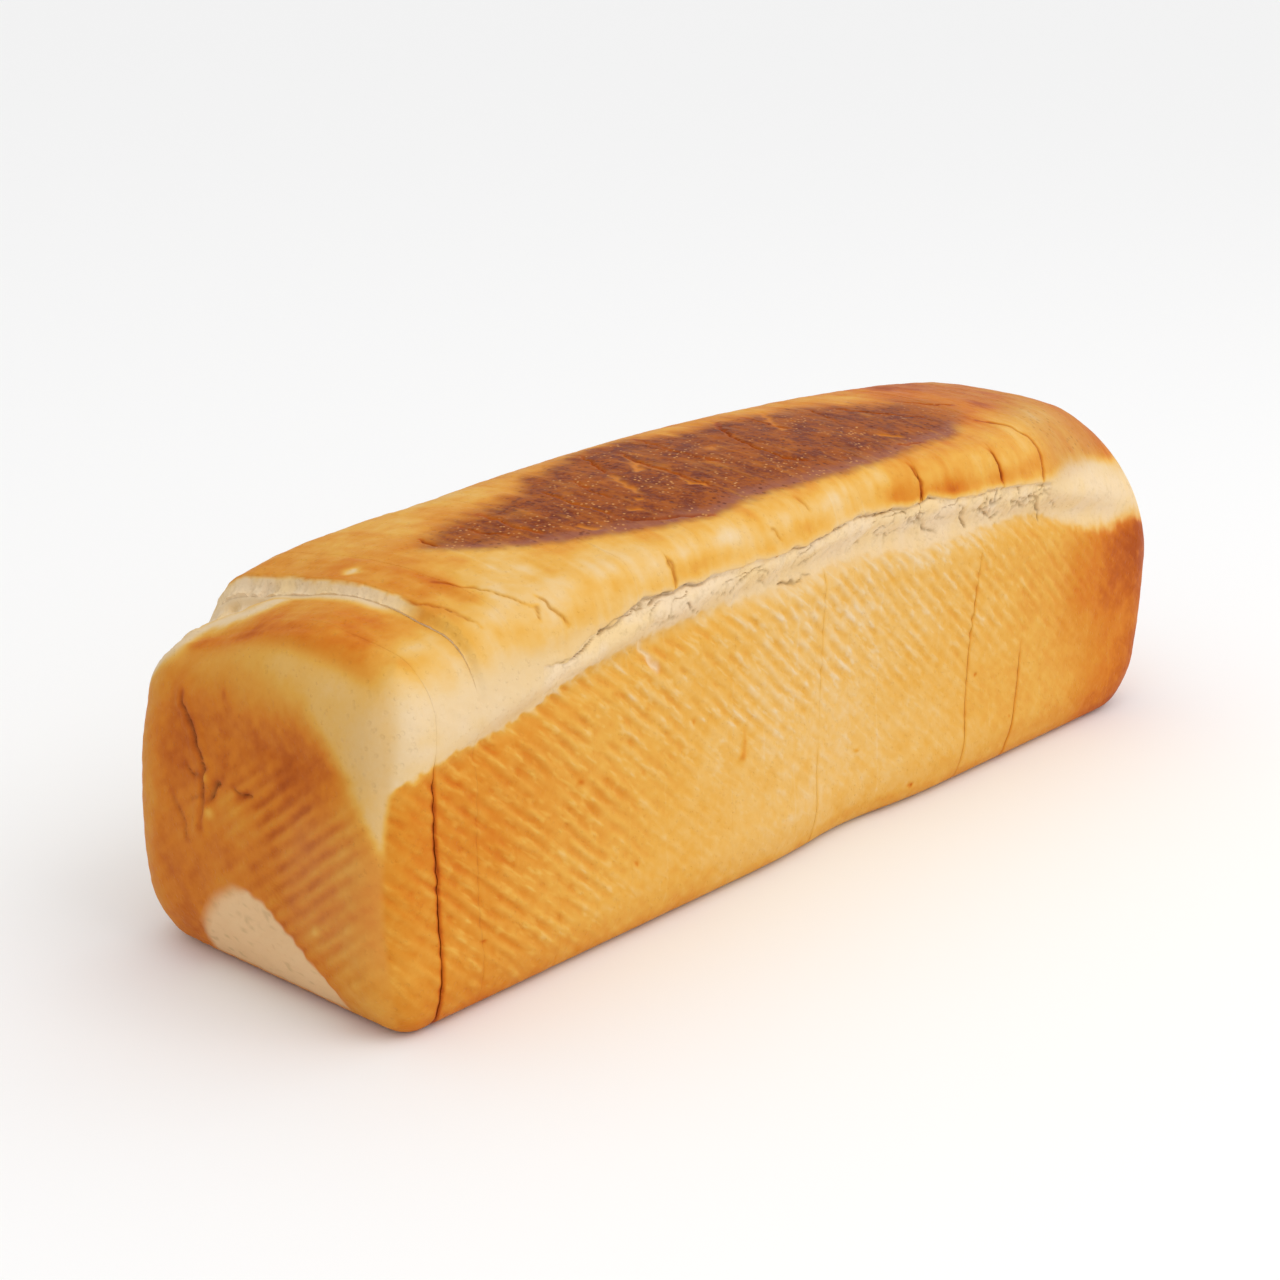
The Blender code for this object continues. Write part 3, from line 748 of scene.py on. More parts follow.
# On the near end's face, in mm across (front wall negative) and up
FACE_FIELD = ((-47, 40), (-44, 46), (-42, 50), (-39, 55), (-35, 60), (-30, 65), (-24, 70), (-18, 74), (-6, 76),
              (10, 76), (26, 75), (35, 72), (44, 66), (50, 58))
RAW_ARC = ((-29.5, 2), (-27.6, 7), (-23.6, 12), (-18, 17), (-11, 21.6), (-6, 25), (0, 26.4), (5, 25.6),
           (10, 22.4), (15.6, 17), (19.6, 9.6), (22, 2))
TORN_CORNER = ((0, 97), (8, 94), (14, 91), (20, 87), (30, 82), (38, 76), (44, 68), (49, 58), (52, 48))
FACE_CRACKS = (
    (0.35, 0.8, 0.8, ((25, 68), (24.5, 65.6), (21, 61), (17, 55), (15, 52), (15, 45), (16, 38))),
    (0.50, 1.2, 0.9, ((8.4, 51), (10.5, 49.4), (11, 48.2), (13, 45))),
    (0.35, 0.6, 0.5, ((5, 50.4), (1, 50), (-3, 50.6))),
    (0.30, 0.5, 0.5, ((22, 52), (18.5, 50), (15.5, 50.5))),
    (0.30, 0.4, 0.4, ((15.5, 46), (20, 43.5))),
    (0.30, 0.4, 0.4, ((27, 44), (22, 38), (21, 33))),
)
FACE_SPOTS = (
    (12.4, 42.4, 1.5, 1.5, -0.30, 0.25),
    (14.5, 50.5, 1.1, 1.3, -0.28, 0.25),
    (9, 72, 1.0, 1.6, 0.12, 0.0),
    (-24, 24, 1.5, 1.5, -0.16, 0.1),
    (4, 45, 6.0, 3.0, -0.08, 0.3),
    (24, 58, 6.0, 7.0, 0.07, 0.0),
)


def face_ribs(y, z, points):
    """The tin's ribs on an end face: a wave across 3.75 mm that rises towards the front wall."""
    slant = np.radians(38.0)
    across = y * np.sin(slant) + z * np.cos(slant)
    lengthways = y * np.cos(slant) - z * np.sin(slant)
    bend = 0.12 * unevenness(points, 14 * MM, 91) + 0.06 * unevenness(points, 5 * MM, 90)
    wave = np.cos(2.0 * np.pi * (across / 3.75 + bend))
    window = smooth_step((12.0 - y) / 14.0) * smooth_step((z - 8.0) / 10.0) * smooth_step((62.0 - z) / 14.0)
    window = window * smooth_step((y + 44.0) / 10.0)
    dashes = np.clip(0.75 + 0.6 * streaks(lengthways, across, 7.0, 3.5, 92), 0.0, 1.2)
    return wave * dashes * (0.15 + 0.85 * window)


def face_looks(y, z, points, near):
    """Everything on an end face: raised height in mm, and its masks. Only the near end has tears."""
    edge = along_edge(y if near else np.clip(y, -16.0, 22.0), FACE_FIELD) + 2.0 * rough(points, 10 * MM, 93) + 1.0 * rough(points, 2.5 * MM, 89)
    field = smooth_step((edge - z) / np.interp(y, (-40, -20, 10), (9.0, 14.0, 20.0)) + 0.5)
    deep = 0.10 * hump(np.hypot((y + 17.0) / 10.0, (z - 56.0) / 12.0)) + 0.09 * hump(np.hypot((y - 26.0) / 14.0, (z - 55.0) / 12.0))
    deep = deep + 0.10 * hump(np.hypot((y + 4.0) / 22.0, (z - 61.0) / 10.0))
    paler = 0.12 * smooth_step((y - 28.0) / 12.0) + 0.10 * smooth_step((-26.0 - y) / 10.0)
    low = 0.08 * smooth_step((-14.0 - y) / 14.0) * smooth_step((34.0 - z) / 16.0)
    paler, low = (paler, low) if near else (0.0, 0.0)
    brown = 0.76 + deep - paler - low + 0.05 * smooth_step((y - 8.0) / 10.0) * smooth_step((34.0 - z) / 10.0)
    brown = brown + 0.10 * rough(points, 8 * MM, 94) + 0.08 * rough(points, 2.6 * MM, 95, 3)
    above = np.interp(y, (-42, -30, -10, 10, 40), (0.22, 0.30, 0.34, 0.40, 0.42)) if near else 0.60
    arc = z - 88.5 + 0.006 * (y + 14.0) ** 2
    orange = 0.46 * hump(arc / np.where(arc > 0.0, 5.0, 2.8)) * smooth_step((9.0 - y) / 9.0) * smooth_step((y + 42.0) / 10.0)
    ribs = face_ribs(y, z, points)
    bake = above + 0.05 * rough(points, 9 * MM, 88) + orange + (brown - above) * field - 0.085 * ribs * field
    height = 0.30 * ribs * field + (0.16 + 0.14 * field) * rough(points, 6 * MM, 96)
    crack, raw = np.zeros(y.shape), np.zeros(y.shape)
    if near:
        wander_y = y + 0.6 * unevenness(points, 2.2 * MM, 97)
        wander_z = z + 0.6 * unevenness(points, 2.2 * MM, 98)
        for width, depth, dark, line in FACE_CRACKS:
            gap, along = path_distance(wander_y, wander_z, line)
            cut = hump(gap / width) * smooth_step(along * 6.0) * smooth_step((1.0 - along) * 6.0)
            height = height - depth * cut
            # painted shade along each crack of the end face
            crack = np.maximum(crack, 0.55 * dark * cut)
            bake = bake + 0.16 * dark * hump(gap / (3.0 * width))
        crease_lump, _ = path_distance(wander_y, wander_z, FACE_CRACKS[0][3])
        height = height + 0.35 * hump((crease_lump - 1.6) / 1.2)
        spot_brown, spot_height = spots(y, z, FACE_SPOTS)
        bake = bake + spot_brown
        height = height + spot_height
        soft = np.interp(y, (-30, 0, 8, 20), (1.6, 2.6, 6.0, 10.0))
        arc_line = along_edge(y, RAW_ARC) + 0.5 * rough(points, 3 * MM, 99)
        raw = smooth_step((arc_line - z) / soft + 0.5) * smooth_step((25.5 - np.abs(y + 3.5)) / 3.0)
        ring = hump((arc_line - z + 1.5) / 1.6) * smooth_step((-2.0 - y) / 8.0) * (1.0 - raw)
        bake = bake + 0.06 * ring
        height = height - 0.30 * raw
        dots = smooth_step(unevenness(points, 1.5 * MM, 108) * 3.2 - 1.5)
        # the unbrowned patch's own dark dots, drawn with the crack colour
        crack = np.maximum(crack, 0.22 * dots * raw)
        ribbed = smooth_step((-8.0 - y) / 14.0) * smooth_step((z - 12.0) / 14.0) * smooth_step((58.0 - z) / 16.0)
        raw = np.maximum(raw * (0.96 + 0.04 * rough(points, 6 * MM, 109)), (0.02 + 0.07 * ribbed) * field)
    # painted shade: the end face above its brown field darkened a little, more towards the top
    painted_shade = 0.08 * (1.0 - field) * smooth_step((z - 40.0) / 20.0)
    # rim is 1 on an end face, so its darker crust there takes the painted sheen colour
    return height, {"bake": bake, "char": painted_shade, "rim": np.ones(y.shape),
                    "crumb": np.zeros(y.shape), "crack": crack, "raw": raw}


def torn_corner(x, y, z, girth, points):
    """The near end's back top corner, where crust is torn away: mask, height in mm, white rim.

    All in mm. Along the sunk pieces' last edge the top also dips, so that the next slice's face shows.
    """
    line = along_edge(y, TORN_CORNER) + 1.2 * rough(points, 5 * MM, 101)
    over = z - line
    there = smooth_step((y - 14.0) / 8.0) * smooth_step((-134.0 - x) / 3.0 + 0.5)
    mask = smooth_step(over / 1.2) * there
    pores = smooth_step(unevenness(points, 4.2 * MM, 102) * 2.0 - 0.55)
    small = smooth_step(unevenness(points, 1.7 * MM, 104) * 2.0 - 0.5)
    height = -mask * (2.0 + 2.2 * pores + 0.6 * small + 0.6 * rough(points, 2.4 * MM, 103))
    rim = hump((over + 1.6) / 2.4) * smooth_step((y - 2.0) / 8.0) * smooth_step((-134.0 - x) / 3.0 + 0.5)
    beside = np.exp(-((x + 132.8) / 6.5) ** 2)
    uneven = 1.0 + 0.45 * unevenness(points, 9 * MM, 105)
    dip = 0.6 * beside * uneven * np.interp(girth, (152, 166, 182, 200, 236, 250), (0.0, 0.55, 0.9, 1.5, 1.4, 0.0))
    pale_edge = np.exp(-((x + 132.8) / 2.6) ** 2) * smooth_step((girth - 150.0) / 14.0) * smooth_step((245.0 - girth) / 12.0)
    return mask, height - dip, np.maximum(rim, pale_edge)


MASKS = ("bake", "char", "rim", "crumb", "crack", "raw")


def blank_masks(shape):
    return {name: np.zeros(shape) for name in MASKS}


def ring_faces(low, high):
    """Triangles between two closed rings of point numbers with the same count."""
    low_next, high_next = np.roll(low, -1), np.roll(high, -1)
    first = np.stack([low, low_next, high_next], axis=-1)
    second = np.stack([low, high_next, high], axis=-1)
    return np.concatenate([first, second])


def halving_faces(low, high):
    """Triangles between a closed ring and one of half as many points."""
    even, odd, after = low[0::2], low[1::2], np.roll(low[0::2], -1)
    high_next = np.roll(high, -1)
    return np.concatenate([np.stack([even, odd, high], axis=-1), np.stack([odd, after, high_next], axis=-1),
                           np.stack([odd, high_next, high], axis=-1)])


def grid_faces(rows, count, start=0):
    """Triangles between neighbouring rows of a closed grid, facing out where rows run along +X."""
    numbers = start + np.arange(rows * count).reshape(rows, count)
    return np.concatenate([ring_faces(numbers[r], numbers[r + 1]) for r in range(rows - 1)])


class Shell:
    """Gathers the points, masks and faces of one closed piece."""

    def __init__(self):
        self.points, self.masks, self.faces, self.count = [], [], [], 0

    def add_points(self, points, masks):
        flat = points.reshape(-1, 3)
        numbers = self.count + np.arange(len(flat))
        self.points.append(flat)
        self.masks.append(np.stack([np.broadcast_to(masks[name], points.shape[:-1]).reshape(-1) for name in MASKS], axis=-1))
        self.count += len(flat)
        return numbers.reshape(points.shape[:-1])

    def add_faces(self, faces, turned=False):
        self.faces.append(faces[:, ::-1] if turned else faces)


def cut_face(shell, rim_numbers, rim, side, bake, shares, crust, hollows, seed):
    """Crumb over one cut: rings that shrink towards the middle, hollowed by the crumb's cells.

    A ring's point is the rim's point drawn in by a share of the way to the middle. side is the way
    that the face looks, and the hollows go the other way.
    """
    middle = np.array([rim[:, 0].mean(), 0.0, CENTRE_HEIGHT])
    outer_numbers, outer_step = rim_numbers, 1
    turned = side < 0
    for share in shares:
        step = outer_step
        room = (1.0 - share) * 0.37 / (RAYS / outer_step)
        if room < 0.00028 and RAYS // (outer_step * 2) >= 6:
            step = outer_step * 2
        ring = rim[::step]
        points = ring + (middle - ring) * share
        depth = np.linalg.norm((ring - middle)[:, 1:], axis=-1) * share / MM
        cells = 0.5 + 0.5 * rough(points, 2.6 * MM, seed)
        inward = smooth_step(depth / 1.5) * (0.05 + hollows * cells) * MM
        points = points.copy()
        points[:, 0] -= side * inward
        masks = blank_masks(len(ring))
        masks["bake"] = bake[::step] + 0.10 * (1.0 - smooth_step(depth / 1.2))
        masks["crumb"] = smooth_step((depth - crust) / (1.2 * crust))
        numbers = shell.add_points(points, masks)
        if step == outer_step:
            shell.add_faces(ring_faces(outer_numbers, numbers), turned)
        else:
            shell.add_faces(halving_faces(outer_numbers, numbers), turned)
        outer_numbers, outer_step = numbers, step
    masks = blank_masks(1)
    masks["crumb"] = np.ones(1)
    centre = shell.add_points((middle - np.array([side * 0.3 * MM, 0.0, 0.0]))[None, :], masks)
    nearest = np.broadcast_to(centre, outer_numbers.shape)
    fan = np.stack([outer_numbers, np.roll(outer_numbers, -1), nearest], axis=-1)
    shell.add_faces(fan, turned)


PLAIN_SHARES = (0.012, 0.03, 0.06, 0.10, 0.16, 0.24, 0.34, 0.46, 0.58, 0.70, 0.80, 0.88, 0.94)
FINE_SHARES = tuple(0.006 + 0.0095 * i for i in range(28)) + (0.30, 0.36, 0.44, 0.54, 0.66, 0.78, 0.88, 0.94)


def settle_piece(points, index):
    """The piece moved by its own small shift, then from the form's origin to the frame's."""
    across, settled = piece_shift(index)
    moved = points.copy()
    moved[:, 1] += across
    moved[:, 2] += settled * points[:, 2] / CROWN_HEIGHT
    return moved - LOAF_MIDDLE


def keep_on_base(points, height):
    """Takes the height off where the loaf stands on its base."""
    return height * smooth_step((points[..., 2] / MM - 0.2) / 2.5)


def edge_wear(from_cut, show):
    """Height in mm lost at a cut's edge: a small round-off, deeper where the cut shows."""
    return -(0.012 + 0.30 * show) * np.exp(-(from_cut / (0.22 + 0.25 * show)) ** 2)


def slice_rows():
    """Shares of the way through a slice at which its crust has a row of points."""
    inner = ROWS_AT_CUT[-1]
    thick = SLICE_PITCH / MM
    count = int(round((thick - 2.0 * inner) / ROW_PITCH))
    middle = np.linspace(inner, thick - inner, count + 1)
    near = np.array(ROWS_AT_CUT[:-1])
    return np.concatenate([near, middle, thick - near[::-1]]) / thick


def make_slice(number):
    """Points, masks and faces of slice number (1 for the first beyond the near heel)."""
    near_cut, far_cut = number - 1, number
    sunk = 1.0 if number < SUNK_PIECES else 0.0
    shares = slice_rows()[:, None]
    x_near, x_far = cut_line(near_cut, 1.0), cut_line(far_cut, -1.0)
    x = (x_near + (x_far - x_near) * shares) * MM
    girth = GIRTHS[near_cut][0] + (GIRTHS[far_cut][0] - GIRTHS[near_cut][0]) * shares
    total = GIRTHS[near_cut][1] + (GIRTHS[far_cut][1] - GIRTHS[near_cut][1]) * shares
    origins = np.stack([x, np.zeros(x.shape), np.full(x.shape, CENTRE_HEIGHT)], axis=-1)
    rays = np.stack(np.broadcast_arrays(np.zeros(x.shape), RAY_Y, RAY_Z), axis=-1)
    points = reach_surface(origins, rays, sunk)
    normal = facing(points, sunk)
    height, masks = crust_looks(x / MM, girth, total, points)
    masks["raw"] = np.zeros(x.shape)
    from_near, from_far = (x / MM - x_near), (x_far - x / MM)
    show_near, show_far = cut_show(near_cut, girth), cut_show(far_cut, girth)
    height = height + edge_wear(from_near, show_near) + edge_wear(from_far, show_far)
    # darker crust within 0.7 mm of a cut where it stands open
    lighter_char_and_darker_cut_edge = show_near * hump(from_near / 0.7) + show_far * hump(from_far / 0.7)
    touching = hump(from_near / 0.35) * (1.0 - show_near) + hump(from_far / 0.35) * (1.0 - show_far)
    masks["bake"] = masks["bake"] + 0.30 * lighter_char_and_darker_cut_edge - 0.05 * touching * smooth_step(unevenness(points, 9 * MM, 86) * 2.0)
    if sunk:
        mask, torn_height, white = torn_corner(x / MM, points[..., 1] / MM, points[..., 2] / MM, girth, points)
        height = height * (1.0 - mask) + torn_height
        masks["crumb"] = np.maximum(masks["crumb"], mask)
        masks["bake"] = masks["bake"] + (0.05 - masks["bake"]) * np.maximum(white, mask)
    bared = number == SUNK_PIECES
    if bared:
        top = np.interp(girth, (118, 130, 150, 160, 176, 196, 232, 252), (0.0, 0.45, 0.70, 0.80, 0.92, 1.10, 1.15, 0.0))
        reach = 2.2 + 1.1 * rough(points, 5 * MM, 106) + 1.2 * smooth_step((girth - 180.0) / 25.0)
        slope = 1.0 - smooth_step(from_near / np.maximum(reach, 0.8))
        pits = smooth_step(unevenness(points, 2.2 * MM, 110) * 2.0 - 0.3) * smooth_step((girth - 182.0) / 14.0)
        height = height - top * slope * (2.6 + 1.4 * pits + 0.35 * unevenness(points, 1.2 * MM, 111))
        bare = smooth_step(slope * 3.0) * smooth_step((girth - 148.0) / 12.0) * smooth_step((252.0 - girth) / 10.0)
        masks["crumb"] = np.maximum(masks["crumb"], bare * (0.55 + 0.35 * smooth_step((girth - 180.0) / 20.0)))
        masks["bake"] = masks["bake"] + (0.10 - masks["bake"]) * bare
        masks["char"] = masks["char"] * (1.0 - bare)
    normal[..., 0] *= smooth_step(np.minimum(from_near, from_far) / 1.5)
    points = points + normal * (keep_on_base(points, height) * MM)[..., None]
    shell = Shell()
    numbers = shell.add_points(points, masks)
    shell.add_faces(grid_faces(len(shares), RAYS))
    near_shares, crust, hollows = (FINE_SHARES, 0.15, 0.20) if bared else (PLAIN_SHARES, 0.8, 0.50)
    cut_face(shell, numbers[0], points[0], -1.0, masks["bake"][0], near_shares, crust, hollows, 111)
    cut_face(shell, numbers[-1], points[-1], 1.0, masks["bake"][-1], PLAIN_SHARES, 0.8, 0.50, 112)
    return shell


def make_heel(side):
    """Points, masks and faces of a crust end. side is -1 for the near end and +1 for the far end.

    Rays start at the middle of the cut. Their targets walk from the cut's outline along the loaf,
    then shrink over the end face to its middle.
    """
    near = side < 0
    cut = 0 if near else SLICES
    sunk = 1.0 if near else 0.0
    index = 0 if near else SLICES + 1
    plane = cut_plane(cut)
    line = cut_line(cut, side) * MM
    outline = section(plane, sunk)
    reach = BASE_LENGTH / 2 - abs(plane)
    centre = np.array([plane, 0.0, CENTRE_HEIGHT])
    side_rows = np.concatenate([np.array(ROWS_AT_CUT[:-1]), np.arange(1.0, reach / MM, ROW_PITCH)]) * MM
    girth, total = GIRTHS[cut]
    shell = Shell()
    rings = []
    for from_cut in side_rows:
        blend = 1.0 - from_cut / reach
        start = np.stack([line * blend + plane * (1.0 - blend), np.zeros(RAYS), np.full(RAYS, CENTRE_HEIGHT)], axis=-1)
        target = np.stack([line * blend + (plane + side * 0.0) * (1.0 - blend) + side * from_cut,
                           outline[:, 1], outline[:, 2]], axis=-1)
        if from_cut == 0.0:
            start[:, 0] = line
            target[:, 0] = line
        rings.append((start, target, 1))
    widest = np.linalg.norm(outline[:, 1:] - centre[1:], axis=-1).max()
    shrink = np.arange(1.0, 0.0, -FACE_PITCH * MM / widest)[1:-1]
    step = 1
    for share in shrink:
        if share * 0.36 / (RAYS / step) < 0.00030 and RAYS // (step * 2) >= 12:
            step *= 2
        ring = outline[::step]
        start = np.broadcast_to(centre, ring.shape)
        target = np.stack([np.full(len(ring), plane + side * reach), ring[:, 1] * share,
                           CENTRE_HEIGHT + (ring[:, 2] - CENTRE_HEIGHT) * share], axis=-1)
        rings.append((start, target, step))
    before, before_step = None, 1
    first_points = first_masks = first_numbers = None
    for start, target, step in rings:
        points = reach_surface(start, target - start, sunk)
        normal = facing(points, sunk)
        ring_girth = girth[::step]
        x, y, z = (points[:, axis] / MM for axis in range(3))
        height, masks = crust_looks(x, ring_girth, total, points)
        masks["raw"] = np.zeros(len(points))
        face_height, face_masks = face_looks(y, z, points, near)
        if near:
            sharp = smooth_step((78.0 - z) / 18.0)
            turn = smooth_step((side * normal[:, 0] - 0.42 - 0.20 * sharp) / (0.40 - 0.24 * sharp))
        else:
            end_x = (BASE_LENGTH / 2 + FAR_BELLY * belly(points[:, 2], FAR_BELLY_HEIGHT)) / MM
            turn = 1.0 - smooth_step((end_x - x - 1.0) / 10.0)
        height = height + (face_height - height) * turn
        for name in MASKS:
            masks[name] = masks[name] + (face_masks[name] - masks[name]) * turn
        from_cut = side * (x * MM - line[::step]) / MM
        show = cut_show(cut, ring_girth)
        height = height + edge_wear(from_cut, show)
        # darker crust within 0.7 mm of the cut where it stands open
        masks["bake"] = masks["bake"] + 0.30 * show * hump(from_cut / 0.7)
        if near:
            mask, torn_height, white = torn_corner(x, y, z, ring_girth, points)
            height = height * (1.0 - mask) + torn_height
            masks["crumb"] = np.maximum(masks["crumb"], mask)
            masks["bake"] = masks["bake"] + (0.05 - masks["bake"]) * np.maximum(white, mask)
        normal[:, 0] *= smooth_step(from_cut / 1.5)
        points = points + normal * (keep_on_base(points, height) * MM)[:, None]
        numbers = shell.add_points(points, masks)
        if before is None:
            first_points, first_masks, first_numbers = points, masks, numbers
        elif step == before_step:
            shell.add_faces(ring_faces(before, numbers), near)
        else:
            shell.add_faces(halving_faces(before, numbers), near)
        before, before_step = numbers, step
    pole_start = centre[None, :]
    pole = reach_surface(pole_start, np.array([[side, 0.0, 0.0]]), sunk)
    height, masks = face_looks(pole[:, 1] / MM, pole[:, 2] / MM, pole, near)
    pole = pole + facing(pole, sunk) * (height * MM)[:, None]
    tip = shell.add_points(pole, masks)
    fan = np.stack([before, np.roll(before, -1), np.broadcast_to(tip, before.shape)], axis=-1)
    shell.add_faces(fan, near)
    cut_face(shell, first_numbers, first_points, -side, first_masks["bake"], PLAIN_SHARES, 0.8, 0.50, 113)
    return shell, index


def add_piece(name, shell, index, node, material):
    """A mesh object from a shell, standing in the frame, that takes its node's place."""
    points = settle_piece(np.concatenate(shell.points), index)
    faces = np.concatenate(shell.faces)
    masks = np.concatenate(shell.masks)
    mesh = bpy.data.meshes.new(name)
    mesh.vertices.add(len(points))
    mesh.vertices.foreach_set("co", points.astype(np.float32).ravel())
    mesh.loops.add(faces.size)
    mesh.loops.foreach_set("vertex_index", faces.astype(np.int32).ravel())
    mesh.polygons.add(len(faces))
    mesh.polygons.foreach_set("loop_start", np.arange(0, faces.size, 3, dtype=np.int32))
    mesh.update(calc_edges=True)
    if mesh.validate():
        raise RuntimeError(f"{name} has faces that don't hold together")
    for column, mask in enumerate(MASKS):
        layer = mesh.attributes.new(mask, "FLOAT", "POINT")
        layer.data.foreach_set("value", masks[:, column].astype(np.float32))
    mesh.shade_smooth()
    mesh.set_sharp_from_angle(angle=np.radians(65.0))
    mesh.materials.append(material)
    piece = bpy.data.objects.new(name, mesh)
    bpy.context.scene.collection.objects.link(piece)
    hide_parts(node)
    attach(piece, "root")
    return piece


class TreeMaker:
    """Short ways to lay and join nodes in one tree."""

    def __init__(self, tree):
        self.tree = tree

    def node(self, kind, **values):
        made = self.tree.nodes.new(kind)
        for name, value in values.items():
            setattr(made, name, value)
        return made

    def join(self, source, target):
        self.tree.links.new(source, target)

    def put(self, socket, value):
        if isinstance(value, bpy.types.NodeSocket):
            self.join(value, socket)
        else:
            socket.default_value = value

    def attribute(self, name):
        return self.node("ShaderNodeAttribute", attribute_name=name).outputs["Fac"]

    def maths(self, operation, first, second=0.0, clamp=False):
        made = self.node("ShaderNodeMath", operation=operation, use_clamp=clamp)
        self.put(made.inputs[0], first)
        self.put(made.inputs[1], second)
        return made.outputs[0]

    def span(self, value, low, high, to_low=0.0, to_high=1.0):
        made = self.node("ShaderNodeMapRange", interpolation_type="SMOOTHSTEP")
        self.put(made.inputs["Value"], value)
        for name, number in (("From Min", low), ("From Max", high), ("To Min", to_low), ("To Max", to_high)):
            made.inputs[name].default_value = number
        return made.outputs["Result"]

    def mix(self, share, first, second):
        made = self.node("ShaderNodeMix", data_type="RGBA")
        self.put(made.inputs[0], share)
        self.put(made.inputs[6], first)
        self.put(made.inputs[7], second)
        return made.outputs[2]

    def noise(self, place, scale, detail=3.0, roughness=0.55):
        made = self.node("ShaderNodeTexNoise", noise_dimensions="3D")
        self.join(place, made.inputs["Vector"])
        made.inputs["Scale"].default_value = scale
        made.inputs["Detail"].default_value = detail
        made.inputs["Roughness"].default_value = roughness
        return made.outputs["Fac"]

    def cells(self, place, scale, feature="F1"):
        made = self.node("ShaderNodeTexVoronoi", feature=feature)
        self.join(place, made.inputs["Vector"])
        made.inputs["Scale"].default_value = scale
        return made.outputs["Distance"]


def new_group(name, inputs, outputs):
    """A shader node group with the given sockets: (name, kind, default)."""
    group = bpy.data.node_groups.new(name, "ShaderNodeTree")
    for label, kind, default in inputs:
        socket = group.interface.new_socket(name=label, in_out="INPUT", socket_type=kind)
        if default is not None:
            socket.default_value = default
    for label, kind in outputs:
        group.interface.new_socket(name=label, in_out="OUTPUT", socket_type=kind)
    return group, TreeMaker(group), group.nodes.new("NodeGroupInput"), group.nodes.new("NodeGroupOutput")


def baked_colour_group(looks):
    """Crust colour from how far it is baked, through five shades, then the dark top laid over it."""
    group, make, inside, out = new_group(
        "baked crust colour",
        [("Bake", "NodeSocketFloat", 0.4), ("Char", "NodeSocketFloat", 0.0), ("Rim", "NodeSocketFloat", 0.0),
         ("Mottle", "NodeSocketFloat", 0.05)],
        [("Color", "NodeSocketColor"), ("Shade", "NodeSocketFloat")])
    place = make.node("ShaderNodeTexCoord").outputs["Object"]
    broad = make.noise(place, 150.0, 4.0, 0.6)
    fine = make.noise(place, 900.0, 3.0, 0.6)
    both = make.maths("ADD", make.maths("MULTIPLY", broad, 0.6), make.maths("MULTIPLY", fine, 0.4))
    uneven = make.maths("MULTIPLY", make.maths("SUBTRACT", both, 0.5), inside.outputs["Mottle"])
    baked = make.maths("ADD", inside.outputs["Bake"], make.maths("MULTIPLY", uneven, 2.0), clamp=True)
    ramp = make.node("ShaderNodeValToRGB")
    shades = ramp.color_ramp
    stops = ((0.0, looks.cream), (0.15, looks.straw), (0.30, looks.golden), (0.42, looks.amber),
             (0.54, looks.orange), (0.66, looks.deep_orange), (0.78, looks.tan), (0.90, looks.brown),
             (1.0, looks.deep_brown))
    while len(shades.elements) < len(stops):
        shades.elements.new(0.5)
    for element, (position, colour) in zip(shades.elements, stops):
        element.position = position
        element.color = (*colour, 1.0)
    make.join(baked, ramp.inputs["Fac"])
    dark_shade = make.mix(make.span(both, 0.38, 0.60), (*looks.dark_top, 1.0), (*looks.dark_top_light, 1.0))
    # Rim mixes in the painted sheen: a purple-grey reflection painted into the dark top's colour
    dark_shade = make.mix(inside.outputs["Rim"], dark_shade, (*looks.dark_rim_painted_sheen, 1.0))
    colour = make.mix(inside.outputs["Char"], ramp.outputs["Color"], dark_shade)
    make.join(colour, out.inputs["Color"])
    make.join(both, out.inputs["Shade"])
    return group


def speck_group():
    """Fine specks on the dark top: pale flour-like ones, dark ones, and the height that they stand up."""
    group, make, inside, out = new_group(
        "crust specks", [("Amount", "NodeSocketFloat", 1.0)],
        [("Pale", "NodeSocketFloat"), ("Dark", "NodeSocketFloat"), ("Height", "NodeSocketFloat")])
    place = make.node("ShaderNodeTexCoord").outputs["Object"]
    pale_cells = make.cells(place, 620.0)
    clumps = make.noise(place, 60.0, 2.0)
    pale = make.maths("MULTIPLY", make.span(pale_cells, 0.30, 0.14), make.span(clumps, 0.42, 0.60))
    dark_cells = make.cells(place, 480.0)
    dark = make.maths("MULTIPLY", make.span(dark_cells, 0.34, 0.16), make.span(clumps, 0.58, 0.40))
    make.join(make.maths("MULTIPLY", pale, inside.outputs["Amount"]), out.inputs["Pale"])
    make.join(make.maths("MULTIPLY", dark, inside.outputs["Amount"]), out.inputs["Dark"])
    make.join(make.maths("SUBTRACT", pale, dark), out.inputs["Height"])
    return group


